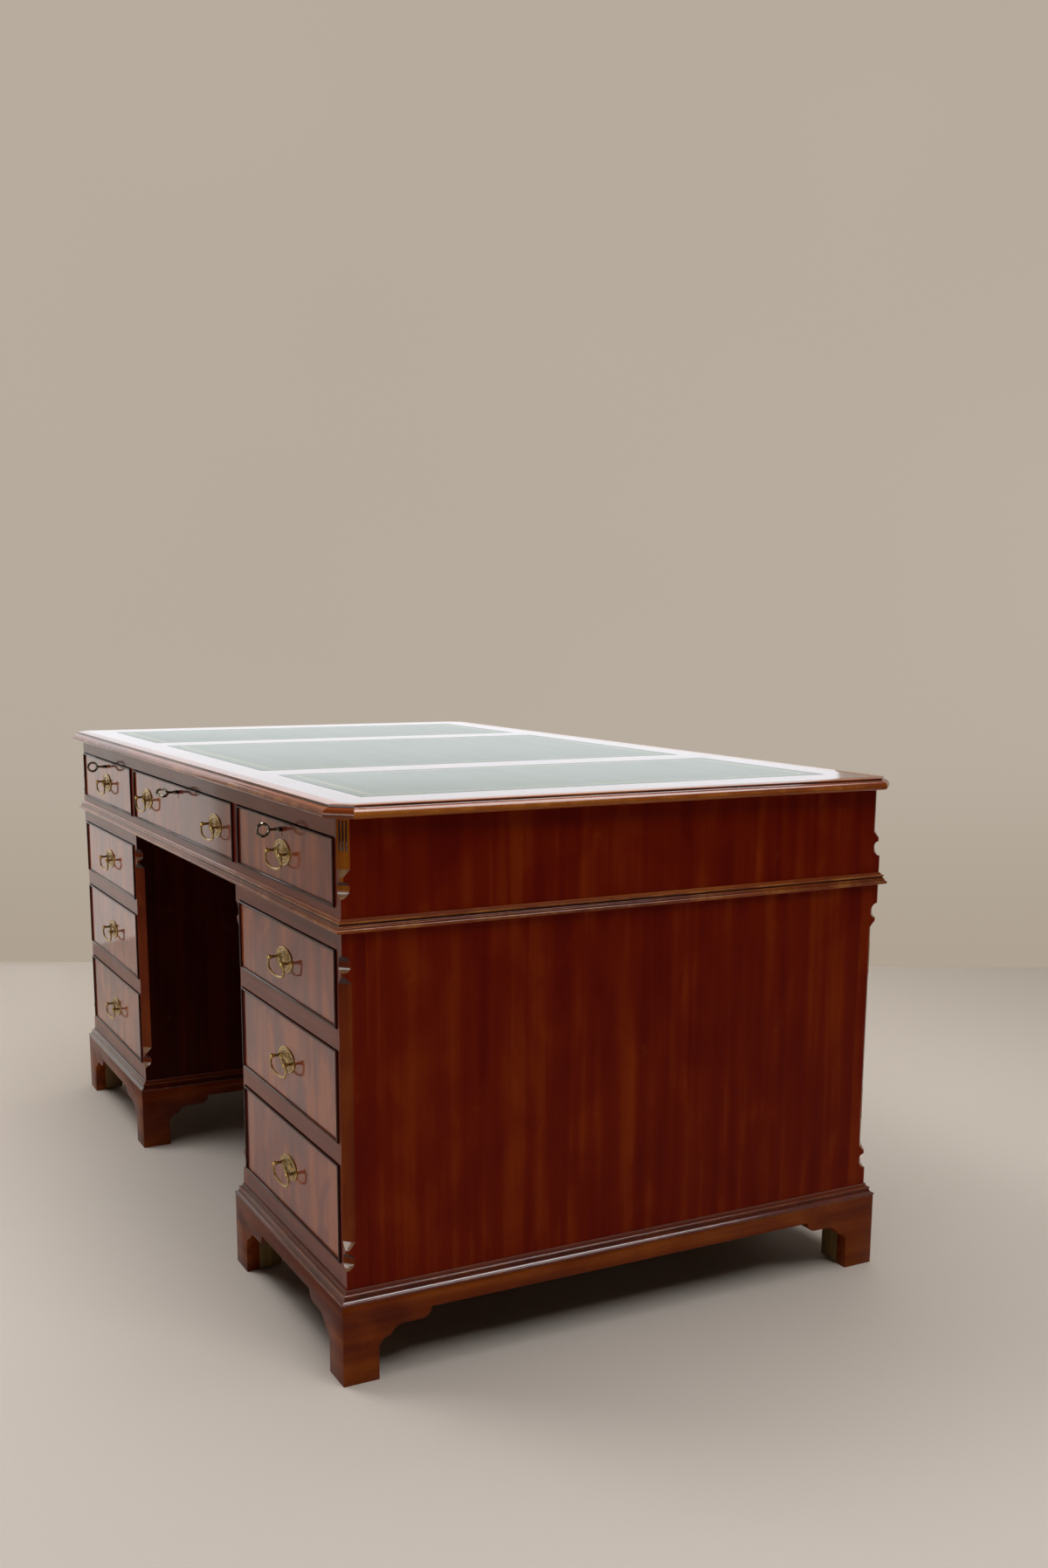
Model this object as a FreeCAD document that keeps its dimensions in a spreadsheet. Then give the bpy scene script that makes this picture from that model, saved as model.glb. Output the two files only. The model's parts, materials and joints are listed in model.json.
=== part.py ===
"""Partners desk: two pedestals, a frieze of drawers on both sides and a leather-lined top.

The model stands on Z = 0 with its centre at the origin. +X is the right-hand end, -Y is the
side with the pedestal drawers, +Y is the side with the cupboards. Lengths are in millimetres.
"""
import FreeCAD, Part
import math
import os
import re

import Sketcher

# ---------------------------------------------------------------------------------------------
# Driving sizes. Each one is a cell of the sheet.
# ---------------------------------------------------------------------------------------------
SIZES = {
    # carcass
    "carcass_length": 1485.0,
    "carcass_depth": 863.0,
    "pedestal_width": 438.0,
    "post_width": 19.0,
    "post_depth": 32.0,
    "panel_thickness": 18.0,
    "rail_depth": 50.0,
    "partition_thickness": 12.0,
    "dust_board_thickness": 12.0,
    "runner_width": 22.0,
    "runner_thickness": 16.0,
    "door_stop_width": 8.0,
    # heights of the pedestal front, from the plinth up
    "bottom_rail": 47.0,
    "lower_opening": 137.0,
    "drawer_rail": 27.0,
    "middle_opening": 126.5,
    "upper_opening": 105.0,
    "top_rail": 24.0,
    # frieze
    "frieze_bottom_rail": 28.5,
    "frieze_opening": 90.5,
    "frieze_top_rail": 25.5,
    "divider_width": 22.0,
    # canted corners with carved stops
    "cant_leg": 14.0,
    "stop_bump": 2.6,
    "stop_square": 43.0,
    "stop_notch": 19.5,
    "stop_land": 6.0,
    "stop_slope": 9.5,
    "notch_gouge": 11.5,
    "top_square": 27.5,
    "frieze_square": 41.5,
    # top
    "overhang_ends": 22.5,
    "overhang_sides": 19.5,
    "top_thickness": 17.0,
    "top_cant": 30.0,
    "lipping_width": 30.0,
    "edge_setback": 12.5,
    "quirk_slope": 3.3,
    "quirk_out": 3.5,
    "quirk_step": 0.9,
    "ovolo_radius": 9.5,
    "nose_height": 4.6,
    "nose_radius": 4.8,
    "nose_undercut": 3.0,
    "leather_thickness": 1.2,
    "leather_side_margin": 75.0,
    "leather_end_margin": 89.0,
    "leather_band": 70.0,
    "leather_end_width": 330.0,
    # waist moulding
    "waist_height": 17.5,
    "waist_projection": 10.5,
    "waist_fillet": 3.4,
    "waist_bead": 2.6,
    "waist_band": 3.8,
    "waist_nose": 5.2,
    # plinth
    "plinth_height": 111.0,
    "plinth_thickness": 20.0,
    "plinth_projection": 10.6,
    "foot_width": 50.6,
    "foot_height": 43.0,
    "bracket_cove": 16.0,
    "bracket_second_cove": 22.0,
    "bracket_second_rise": 13.5,
    "bracket_flat": 24.0,
    "bracket_nose": 14.5,
    "block_size": 34.0,
    "block_shortfall": 4.0,
    "plinth_moulding_height": 18.2,
    "plinth_moulding_projection": 11.6,
    "plinth_fillet": 2.2,
    "plinth_bead": 3.6,
    "plinth_cove": 5.2,
    "plinth_nose": 4.4,
    # drawers
    "drawer_gap": 1.5,
    "running_gap": 0.3,
    "bead_thickness": 3.0,
    "bead_proud": 3.0,
    "bead_bevel": 0.9,
    "front_thickness": 20.0,
    "drawer_back_room": 25.5,
    "drawer_side": 10.0,
    "side_clearance": 1.0,
    "side_shortfall": 7.0,
    "drawer_back": 10.0,
    "drawer_bottom": 6.0,
    "bottom_rise": 9.0,
    "groove_depth": 5.0,
    # cupboard doors
    "door_thickness": 20.0,
    "door_gap": 2.4,
    "door_bead_inset": 7.0,
    "hinge_inset": 70.0,
    "hinge_length": 51.0,
    "leaf_thickness": 0.9,
    "leaf_width": 18.0,
    "knuckle_radius": 3.0,
    "knuckle_standoff": 3.2,
    "knuckle_gap": 0.3,
    "hinge_pin_radius": 1.5,
    "pin_clearance": 0.05,
    "escutcheon_half_width": 8.0,
    "escutcheon_half_height": 12.0,
    "escutcheon_thickness": 1.2,
    "escutcheon_inset": 34.0,
    # handles
    "plate_half_width": 31.0,
    "plate_half_height": 19.0,
    "plate_thickness": 1.2,
    "plate_border": 9.0,
    "plate_boss_rise": 1.6,
    "handle_half_span": 26.5,
    "handle_inset": 93.5,
    "stem_radius": 3.0,
    "shank_radius": 2.0,
    "ball_radius": 3.6,
    "ball_height": 19.5,
    "pivot_height": 13.0,
    "nut_radius": 5.0,
    "nut_thickness": 3.0,
    "bail_radius": 1.5,
    "bail_half_width": 32.0,
    "bail_drop": 21.5,
    "bail_neck": 8.0,
    "bail_corner": 11.0,
    "hole_clearance": 0.15,
    # keys and drawer locks
    "key_drop": 13.5,
    "key_shaft_radius": 2.1,
    "key_collar_radius": 3.4,
    "key_bow_radius": 8.2,
    "key_bow_wire": 1.8,
    "key_bow_height": 22.0,
    "key_barrel_foot": 3.0,
    "key_barrel_top": 9.5,
    "key_ring_foot": 13.0,
    "key_ring_top": 16.0,
    "key_bit_reach": 7.6,
    "key_bit_width": 2.4,
    "key_bit_thickness": 3.0,
    "key_turned": 50.0,
    "keyhole_slot": 10.5,
    "lock_half_width": 25.0,
    "lock_height": 34.0,
    "lock_thickness": 12.0,
    "lock_chamber": 4.0,
    "bolt_half_width": 10.0,
    "bolt_thickness": 3.0,
    "bolt_height": 24.0,
    "bolt_set_back": 5.0,
    "bolt_recess": 1.0,
    "bolt_throw": 8.0,
    "bolt_clearance": 0.3,
}

# ---------------------------------------------------------------------------------------------
# Derived places, worked out from the sizes by the document itself.
# ---------------------------------------------------------------------------------------------
DERIVED = {
    "half_length": "carcass_length / 2",
    "half_depth": "carcass_depth / 2",
    "opening_width": "pedestal_width - 2 * post_width",
    "opening_outer": "half_length - post_width",
    "opening_inner": "opening_outer - opening_width",
    "pedestal_inner": "half_length - pedestal_width",
    "pedestal_centre": "half_length - pedestal_width / 2",
    "panel_outer": "half_length - panel_thickness",
    "panel_inner": "pedestal_inner + panel_thickness",
    "lower_floor": "plinth_height + bottom_rail",
    "middle_floor": "lower_floor + lower_opening + drawer_rail",
    "upper_floor": "middle_floor + middle_opening + drawer_rail",
    "pedestal_ceiling": "upper_floor + upper_opening",
    "frieze_base": "pedestal_ceiling + top_rail",
    "frieze_floor": "frieze_base + frieze_bottom_rail",
    "frieze_ceiling": "frieze_floor + frieze_opening",
    "top_base": "frieze_ceiling + frieze_top_rail",
    "top_surface": "top_base + top_thickness",
    "divider_outer": "opening_inner",
    "divider_inner": "opening_inner - divider_width",
    "handle_offset": "divider_inner - handle_inset",
    "back_of_rail": "half_depth - rail_depth",
    "drawer_depth": "half_depth - partition_thickness / 2 - drawer_back_room",
    "top_half_length": "half_length + overhang_ends",
    "top_half_depth": "half_depth + overhang_sides",
    "board_half_length": "top_half_length - lipping_width",
    "board_half_depth": "top_half_depth - lipping_width",
    "board_cant": "top_cant - lipping_width * (2 - sqrt(2))",
    "leather_half_depth": "top_half_depth - leather_side_margin",
    "leather_outer": "top_half_length - leather_end_margin",
    "leather_inner": "leather_outer - leather_end_width",
    "leather_centre": "leather_inner - leather_band",
    "cant_depth": "cant_leg / sqrt(2)",
    "plinth_half_width": "pedestal_width / 2 + plinth_projection",
    "plinth_half_depth": "half_depth + plinth_projection",
    "bolt_face": "0 - half_depth + front_thickness + bolt_set_back",
    "bolt_top": "frieze_ceiling - drawer_gap - bolt_recess",
    "key_height": "frieze_ceiling - key_drop",
    "hinge_axis_x": "opening_outer - door_gap / 2",
    "hinge_axis_y": "half_depth + knuckle_standoff",
}

HALF_TURN = 180.0
QUARTER_TURN = 90.0
EIGHTH_TURN = 45.0
BAR_SIDES = 6
CHAMBER_SIDES = 8
BOW_SIDES = 10
OVAL_SIDES = 12
SQUARE_CORNER = "1"
CANTED_CORNER = "tan(22.5)"
X_AXIS = FreeCAD.Vector(1, 0, 0)
Y_AXIS = FreeCAD.Vector(0, 1, 0)
Z_AXIS = FreeCAD.Vector(0, 0, 1)
AXES = {"x": X_AXIS, "y": Y_AXIS, "z": Z_AXIS}
PROFILE_ACROSS = FreeCAD.Rotation(FreeCAD.Vector(1, 1, 1), 120.0)
UPRIGHT = FreeCAD.Rotation(X_AXIS, QUARTER_TURN)
UPRIGHT_REAR = FreeCAD.Rotation(X_AXIS, -QUARTER_TURN)
DIAGONAL = FreeCAD.Rotation(Z_AXIS, -EIGHTH_TURN) * UPRIGHT

doc = FreeCAD.newDocument("partners_desk")
sheet = doc.addObject("Spreadsheet::Sheet", "Sizes")
for row, (alias, value) in enumerate(SIZES.items(), start=1):
    sheet.set(f"A{row}", alias)
    sheet.set(f"B{row}", str(value))
    sheet.setAlias(f"B{row}", alias)
doc.recompute()

nodes = []


# ---------------------------------------------------------------------------------------------
# Helpers
# ---------------------------------------------------------------------------------------------
def spell(text):
    """Write an expression with the sheet's cells in place of the plain names."""
    def cell(match):
        word = match.group()
        if word in DERIVED:
            return "(" + spell(DERIVED[word]) + ")"
        return "Sizes." + word if word in SIZES else word
    return re.sub(r"[a-z_]+", cell, text)


def number(text):
    """Work out an expression with the sheet's present values."""
    return float(sheet.evalExpression(spell(text)))


def bind(thing, **texts):
    """Tie properties of an object to expressions."""
    for key, text in texts.items():
        thing.setExpression(key.replace("__", "."), spell(text))
    return thing


def turn(thing, rotation, x="0", y="0", z="0"):
    """Turn an object and tie its place to expressions."""
    thing.Placement = FreeCAD.Placement(FreeCAD.Vector(number(x), number(y), number(z)), rotation)
    bind(thing, Placement__Base__x=x, Placement__Base__y=y, Placement__Base__z=z)
    return thing


def board(name, x, y, z):
    """A rectangular board between two places along each axis."""
    thing = doc.addObject("Part::Box", name)
    for side, (low, high) in zip(("Length", "Width", "Height"), (x, y, z)):
        bind(thing, **{side: f"({high}) - ({low})"})
    return turn(thing, FreeCAD.Rotation(), x[0], y[0], z[0])


def bar(name, radius, length, rotation, x="0", y="0", z="0", sides=BAR_SIDES):
    """A small bar with a many-sided section and a flat to each side of its length. It starts at
    a place and runs along its turned Z axis."""
    thing = bind(doc.addObject("Part::Prism", name), Circumradius=radius, Height=length)
    thing.Polygon = sides
    return turn(thing, rotation * FreeCAD.Rotation(Z_AXIS, HALF_TURN / sides), x, y, z)


def hole(name, radius, length, rotation, x="0", y="0", z="0", sides=BAR_SIDES):
    """The waste of a hole whose flats clear a bar of the given radius."""
    across_corners = f"({radius}) / cos({HALF_TURN / sides})"
    return bar(name, across_corners, length, rotation, x, y, z, sides)


def cut(name, base, tool):
    """What is left of one object after another is cut away."""
    thing = doc.addObject("Part::Cut", name)
    thing.Base = base
    thing.Tool = tool
    thing.Refine = True
    return thing


def fused(name, pieces):
    """Several objects joined into one."""
    thing = doc.addObject("Part::MultiFuse", name)
    thing.Shapes = pieces
    thing.Refine = True
    return thing


def group(name, pieces):
    """Several separate solids that keep to one place."""
    thing = doc.addObject("Part::Compound", name)
    thing.Links = pieces
    return thing


def mirrored(source, axis, about="0"):
    """The mirror image of an object across a plane square to an axis."""
    thing = doc.addObject("Part::Mirroring", source.Name + "_mirrored")
    thing.Source = source
    thing.Normal = AXES[axis]
    bind(thing, **{"Base__" + axis: about})
    return thing


def with_mirror(source, axis, about="0"):
    """An object together with its mirror image."""
    return group(source.Name + "_pair", [source, mirrored(source, axis, about)])


def node(label, pieces):
    """A named sub-part of the desk."""
    thing = group(label, pieces)
    thing.Label = label
    nodes.append(thing)
    return thing


def copy_node(label, source, axis):
    """A named sub-part that mirrors another one across the middle of the desk."""
    thing = mirrored(source, axis)
    thing.Label = label
    nodes.append(thing)
    return thing


def draw(sketch, path, closed=True):
    """Draw an outline. A corner is (across, up), or (across, up, radius, side) where the run
    that arrives at it is an arc: side is +1 for an arc that turns left, -1 for right."""
    spots = [(number(corner[0]), number(corner[1])) for corner in path]
    shapes, starts, ends, arcs = [], [], [], []
    for index, start in enumerate(spots if closed else spots[:-1]):
        corner = path[(index + 1) % len(path)]
        end = spots[(index + 1) % len(path)]
        if len(corner) == 2:
            shapes.append(Part.LineSegment(FreeCAD.Vector(*start, 0), FreeCAD.Vector(*end, 0)))
            starts.append(1)
            ends.append(2)
            continue
        radius, side = number(corner[2]), corner[3]
        chord = math.dist(start, end)
        rise = math.sqrt(max(radius ** 2 - (chord / 2) ** 2, 0.0)) * side / chord
        centre = ((start[0] + end[0]) / 2 - (end[1] - start[1]) * rise,
                  (start[1] + end[1]) / 2 + (end[0] - start[0]) * rise)
        angles = [math.atan2(spot[1] - centre[1], spot[0] - centre[0]) for spot in (start, end)]
        if side < 0:
            angles.reverse()
        if angles[1] < angles[0]:
            angles[1] += 2 * math.pi
        circle = Part.Circle(FreeCAD.Vector(*centre, 0), Z_AXIS, radius)
        arcs.append((index, corner[2]))
        shapes.append(Part.ArcOfCircle(circle, *angles))
        starts.append(1 if side > 0 else 2)
        ends.append(2 if side > 0 else 1)
    sketch.addGeometry(shapes, False)
    rules, texts = [], {}
    for index, spot in enumerate(spots):
        before = (index - 1) % len(spots)
        if closed or 0 < index < len(shapes):
            rules.append(Sketcher.Constraint("Coincident", before, ends[before],
                                             index, starts[index]))
        at = (index, starts[index]) if index < len(shapes) else (before, ends[before])
        for kind, value, text in zip(("DistanceX", "DistanceY"), spot, path[index][:2]):
            texts[len(rules)] = text
            rules.append(Sketcher.Constraint(kind, -1, 1, *at, value))
    for index, radius in arcs:
        texts[len(rules)] = radius
        rules.append(Sketcher.Constraint("Radius", index, number(radius)))
    sketch.addConstraint(rules)
    for index, text in texts.items():
        sketch.setExpression(f"Constraints[{index}]", spell(text))
    return sketch


def profile(name, path, rotation=PROFILE_ACROSS):
    """A section or outline that stands by itself, ready to be extruded."""
    sketch = draw(doc.addObject("Sketcher::SketchObject", name), path)
    sketch.Placement = FreeCAD.Placement(FreeCAD.Vector(), rotation)
    return sketch


def bent_wire(name, radius, corners):
    """A wire with mitred bends that lies in the local XY plane and sets out along X. The
    corners of its section point inwards and outwards of the bends."""
    section = bind(doc.addObject("Part::RegularPolygon", name + "_section"), Circumradius=radius)
    section.Polygon = BAR_SIDES
    spin = FreeCAD.Rotation(Z_AXIS, HALF_TURN / BAR_SIDES)
    turn(section, FreeCAD.Rotation(Y_AXIS, QUARTER_TURN) * spin, *corners[0])
    wire = doc.addObject("Part::Sweep", name)
    wire.Sections = [section]
    wire.Spine = draw(doc.addObject("Sketcher::SketchObject", name + "_path"), corners, False)
    wire.Solid = True
    wire.Frenet = False
    wire.Transition = "Right corner"
    return wire


def extruded(name, sketch, direction, length):
    """An outline carried the same way to both sides of itself."""
    thing = doc.addObject("Part::Extrusion", name)
    thing.Base = sketch
    thing.DirMode = "Custom"
    thing.Dir = direction
    thing.Solid = True
    thing.Symmetric = True
    return bind(thing, LengthFwd=length)


def body_sketch(body, name, role, path):
    """A sketch on one of the body's own origin planes."""
    sketch = body.newObject("Sketcher::SketchObject", name)
    plane = next(item for item in body.Origin.OriginFeatures if item.Role == role)
    sketch.AttachmentSupport = [(plane, "")]
    sketch.MapMode = "FlatFace"
    return draw(sketch, path)


def padded_body(name, role, path, length):
    """A body padded from an outline on one of its origin planes, to both sides of it."""
    body = doc.addObject("PartDesign::Body", name)
    feature = body.newObject("PartDesign::Pad", name + "_pad")
    feature.Profile = body_sketch(body, name + "_outline", role, path)
    feature.Midplane = True
    bind(feature, Length=length)
    return body


def mitred(name, blank, run, reach, corner, low, high):
    """Cut both ends of a strip to the mitres of its corners. The strip lies along X, and Y
    points away from the thing that it frames."""
    wedge = doc.addObject("Part::Wedge", name + "_mitres")
    bind(wedge, Ymin="0", Ymax=reach, Zmin=low, Zmax=high, Z2min=low, Z2max=high,
         Xmin=f"0 - ({run}) / 2", Xmax=f"({run}) / 2",
         X2min=f"0 - ({run}) / 2 - ({reach}) * {corner}",
         X2max=f"({run}) / 2 + ({reach}) * {corner}")
    thing = doc.addObject("Part::Common", name)
    thing.Base = blank
    thing.Tool = wedge
    return thing


def frame_strips(name, section, length, depth, reach, low, high, x="0", y="0", z="0"):
    """Four mitred strips of one section around a rectangle that lies flat."""
    strips = []
    for side, run, angle, across, along in (
            ("rear", length, 0.0, "0", f"({depth}) / 2"),
            ("right", depth, -QUARTER_TURN, f"({length}) / 2", "0"),
            ("front", length, HALF_TURN, "0", f"0 - ({depth}) / 2"),
            ("left", depth, QUARTER_TURN, f"0 - ({length}) / 2", "0")):
        title = f"{name}_{side}"
        blank = extruded(title + "_blank", section, X_AXIS, f"({run}) + 2 * ({reach})")
        strip = mitred(title, blank, run, reach, SQUARE_CORNER, low, high)
        turn(strip, FreeCAD.Rotation(Z_AXIS, angle), f"({x}) + ({across})",
             f"({y}) + ({along})", z)
        strips.append(strip)
    return strips


# ---------------------------------------------------------------------------------------------
# Top: veneered board with leather recesses, mitred moulded lipping, three leather panels
# ---------------------------------------------------------------------------------------------
def octagon(half_length, half_depth, cant):
    """Corners of a rectangle with canted corners."""
    quarter = [(half_length, f"({half_depth}) - ({cant})"),
               (f"({half_length}) - ({cant})", half_depth)]
    corners = []
    for sign_x, sign_y in ((1, 1), (-1, 1), (-1, -1), (1, -1)):
        spots = [(f"{sign_x} * ({a})", f"{sign_y} * ({b})") for a, b in quarter]
        corners += spots if sign_x == sign_y else spots[::-1]
    return corners


def leather_places():
    """The side and rear limits of the three leather panels along X."""
    return (("0 - leather_outer", "0 - leather_inner"),
            ("0 - leather_centre", "leather_centre"),
            ("leather_inner", "leather_outer"))


def make_top():
    """The top of the desk."""
    body = doc.addObject("PartDesign::Body", "top_panel")
    pad = body.newObject("PartDesign::Pad", "top_panel_pad")
    pad.Profile = body_sketch(body, "top_panel_outline", "XY_Plane",
                              octagon("board_half_length", "board_half_depth", "board_cant"))
    bind(pad, Length="top_thickness")
    for index, (low, high) in enumerate(leather_places()):
        corners = [(low, "0 - leather_half_depth"), (high, "0 - leather_half_depth"),
                   (high, "leather_half_depth"), (low, "leather_half_depth")]
        outline = body_sketch(body, f"leather_recess_outline_{index}", "XY_Plane", corners)
        bind(outline, AttachmentOffset__Base__z="top_thickness")
        recess = body.newObject("PartDesign::Pocket", f"leather_recess_{index}")
        recess.Profile = outline
        bind(recess, Length="leather_thickness")
    turn(body, FreeCAD.Rotation(), z="top_base")
    node("top_board", [body])
    node("leather_panels", [
        board(f"leather_{index}", place, ("0 - leather_half_depth", "leather_half_depth"),
              ("top_surface - leather_thickness", "top_surface"))
        for index, place in enumerate(leather_places())])

    nose_start = "lipping_width - nose_undercut"
    quirk = "lipping_width - edge_setback + quirk_out"
    section = profile("lipping_section", [
        ("0", "0"),
        (nose_start, "0"),
        ("lipping_width", "nose_height", "nose_radius", 1),
        (f"{quirk} + quirk_step", "top_thickness - quirk_slope - quirk_step", "ovolo_radius", 1),
        (quirk, "top_thickness - quirk_slope"),
        ("lipping_width - edge_setback", "top_thickness"),
        ("0", "top_thickness")])
    strips = []
    for side, outer_run, angle, across, along in (
            ("rear", "2 * (top_half_length - top_cant)", 0.0, "0", "board_half_depth"),
            ("right", "2 * (top_half_depth - top_cant)", -QUARTER_TURN, "board_half_length", "0"),
            ("front", "2 * (top_half_length - top_cant)", HALF_TURN, "0", "0 - board_half_depth"),
            ("left", "2 * (top_half_depth - top_cant)", QUARTER_TURN, "0 - board_half_length",
             "0")):
        strips.append(lipping_strip(side, section, outer_run, angle, across, along))
    for side, angle, sign_x, sign_y in (("rear_right", -EIGHTH_TURN, 1, 1),
                                        ("rear_left", EIGHTH_TURN, -1, 1),
                                        ("front_left", EIGHTH_TURN + QUARTER_TURN, -1, -1),
                                        ("front_right", -EIGHTH_TURN - QUARTER_TURN, 1, -1)):
        inward = "top_cant / 2 + lipping_width / sqrt(2)"
        strips.append(lipping_strip(side, section, "top_cant * sqrt(2)", angle,
                                    f"{sign_x} * (top_half_length - ({inward}))",
                                    f"{sign_y} * (top_half_depth - ({inward}))"))
    node("top_lipping", strips)


def lipping_strip(side, section, outer_run, angle, across, along):
    """One straight of the moulded lipping, mitred to its neighbours at 22.5 degrees."""
    title = "lipping_" + side
    run = f"({outer_run}) - 2 * lipping_width * {CANTED_CORNER}"
    blank = extruded(title + "_blank", section, X_AXIS, outer_run)
    strip = mitred(title, blank, run, "lipping_width", CANTED_CORNER, "0", "top_thickness")
    return turn(strip, FreeCAD.Rotation(Z_AXIS, angle), across, along, "top_base")


# ---------------------------------------------------------------------------------------------
# Corner posts: square blocks top and bottom, canted between, with gouged stops
# ---------------------------------------------------------------------------------------------
def stop_run(edge, way):
    """The carved stop between the square end of a post and its cant, as corners of the cut.
    edge is where the square ends and way is the direction of the cant from it."""
    land_start = f"({edge}) {way} stop_notch"
    land_end = f"{land_start} {way} stop_land"
    turning = 1 if way == "+" else -1
    return [("0", edge), ("0 - stop_bump", land_start, "notch_gouge", turning),
            ("0 - stop_bump", land_end), ("0 - cant_depth", f"{land_end} {way} stop_slope")]


def post_blank(name, low, high):
    """A square post with its outer front corner on the local origin."""
    return board(name, ("0 - post_width", "0"), ("0", "post_depth"), (low, high))


def make_post(name, low, high, corners):
    """A post whose outer corner is carved away along the outline that the corners give."""
    waste = extruded(name + "_waste", profile(name + "_carving", corners, DIAGONAL),
                     FreeCAD.Vector(-1, -1, 0), "4 * cant_leg")
    post = cut(name, post_blank(name + "_blank", low, high), waste)
    return turn(post, FreeCAD.Rotation(), "half_length", "0 - half_depth")


def make_posts():
    """The eight pedestal posts and the four frieze posts."""
    lower = stop_run("plinth_height + stop_square", "+")
    upper = stop_run("frieze_base - top_square", "-")
    pedestal_post = make_post("pedestal_post", "plinth_height", "frieze_base",
                              [("stop_bump", "plinth_height + stop_square"), *lower,
                               *upper[::-1][:1],
                               *[(a[0], a[1]) for a in upper[::-1][1:-1]],
                               ("0", "frieze_base - top_square", "notch_gouge", 1),
                               ("stop_bump", "frieze_base - top_square")])
    pair = with_mirror(pedestal_post, "x", "pedestal_centre")
    quad = with_mirror(pair, "y")
    frieze_stop = stop_run("frieze_base + frieze_square", "+")
    frieze_post = make_post("frieze_post", "frieze_base", "top_base",
                            [("stop_bump", "frieze_base + frieze_square"), *frieze_stop,
                             ("0 - cant_depth", "top_base"), ("stop_bump", "top_base")])
    node("corner_posts", [with_mirror(quad, "x"),
                          with_mirror(with_mirror(frieze_post, "x"), "y")])


# ---------------------------------------------------------------------------------------------
# Frieze: end panels, rails, dividers, dust boards, runners and the waist moulding
# ---------------------------------------------------------------------------------------------
def between_posts():
    """The run of a side panel between the front and the rear post."""
    return ("0 - half_depth + post_depth", "half_depth - post_depth")


def locks_along():
    """The three drawer locks of a frieze, along X."""
    return ("0 - pedestal_centre", "0", "pedestal_centre")


def make_frieze():
    """The fixed boards of the drawer frieze."""
    end_panel = board("frieze_end_panel", ("panel_outer", "half_length"), between_posts(),
                      ("frieze_base", "top_base"))
    divider = board("frieze_divider", ("divider_inner", "divider_outer"),
                    ("0 - half_depth", "0 - partition_thickness / 2"),
                    ("frieze_floor", "frieze_ceiling"))
    spine = board("frieze_spine", ("0 - panel_outer", "panel_outer"),
                  ("0 - partition_thickness / 2", "partition_thickness / 2"),
                  ("frieze_base + dust_board_thickness", "top_base"))
    dust_board = board("frieze_dust_board", ("0 - panel_outer", "panel_outer"),
                       ("0 - back_of_rail", "back_of_rail"),
                       ("frieze_base", "frieze_base + dust_board_thickness"))
    node("frieze_panels", [with_mirror(end_panel, "x"),
                           with_mirror(with_mirror(divider, "x"), "y"), spine, dust_board])

    across = ("0 - opening_outer", "opening_outer")
    deep = ("0 - half_depth", "0 - back_of_rail")
    bottom_rail = board("frieze_bottom_rail_board", across, deep, ("frieze_base", "frieze_floor"))
    mortises = [
        board(f"bolt_mortise_{index}",
              (f"{x} - bolt_half_width - bolt_clearance", f"{x} + bolt_half_width + bolt_clearance"),
              ("bolt_face - bolt_clearance", "bolt_face + bolt_thickness + bolt_clearance"),
              ("frieze_ceiling", "bolt_top + bolt_throw + bolt_recess"))
        for index, x in enumerate(locks_along())]
    top_rail = cut("frieze_top_rail_board",
                   board("frieze_top_rail_blank", across, deep, ("frieze_ceiling", "top_base")),
                   group("bolt_mortises", mortises))
    node("frieze_rails", [with_mirror(bottom_rail, "y"), with_mirror(top_rail, "y")])


def make_runners():
    """The runners under the drawers of the pedestals and the frieze."""
    runners = []
    deep = ("0 - back_of_rail", "0 - partition_thickness / 2")
    for index, floor in enumerate(("middle_floor", "upper_floor")):
        runner = board(f"pedestal_runner_{index}", ("panel_outer - runner_width", "panel_outer"),
                       deep, (f"{floor} - runner_thickness", floor))
        runners.append(with_mirror(with_mirror(runner, "x", "pedestal_centre"), "x"))
    edges = (("opening_outer - runner_width", "panel_outer"),
             ("divider_inner - runner_width", "divider_outer + runner_width"))
    for index, edge in enumerate(edges):
        runner = board(f"frieze_runner_{index}", edge, deep,
                       ("frieze_base + dust_board_thickness", "frieze_floor"))
        runners.append(with_mirror(with_mirror(runner, "x"), "y"))
    node("drawer_runners", runners)


def eased_bead(out, low, high):
    """The two outer corners of a small bead between two heights, and where it ends."""
    proud = f"({out}) + (({high}) - ({low})) / 2"
    third = f"(({high}) - ({low})) / 3"
    return [(proud, f"({low}) + {third}"), (proud, f"({high}) - {third}"), (out, high)]


def make_waist_moulding():
    """The moulding around the foot of the frieze: fillet, bead, raked band and rounded nose."""
    bead_top = "waist_height - waist_fillet"
    bead_foot = f"{bead_top} - waist_bead"
    band_foot = f"{bead_foot} - waist_band"
    bead_out = "waist_projection * 0.5"
    nose_out = "waist_projection - waist_nose / 2"
    section = profile("waist_section", [
        ("0", "0"),
        (nose_out, "0"),
        *eased_bead(nose_out, "0", "waist_nose"),
        ("waist_projection * 0.7", band_foot),
        (bead_out, bead_foot),
        *eased_bead(bead_out, bead_foot, bead_top),
        ("waist_projection * 0.3", bead_top),
        ("waist_projection * 0.1", "waist_height"),
        ("0", "waist_height")])
    return frame_strips("waist", section, "carcass_length", "carcass_depth",
                        "waist_projection", "0", "waist_height", z="frieze_base")


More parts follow.
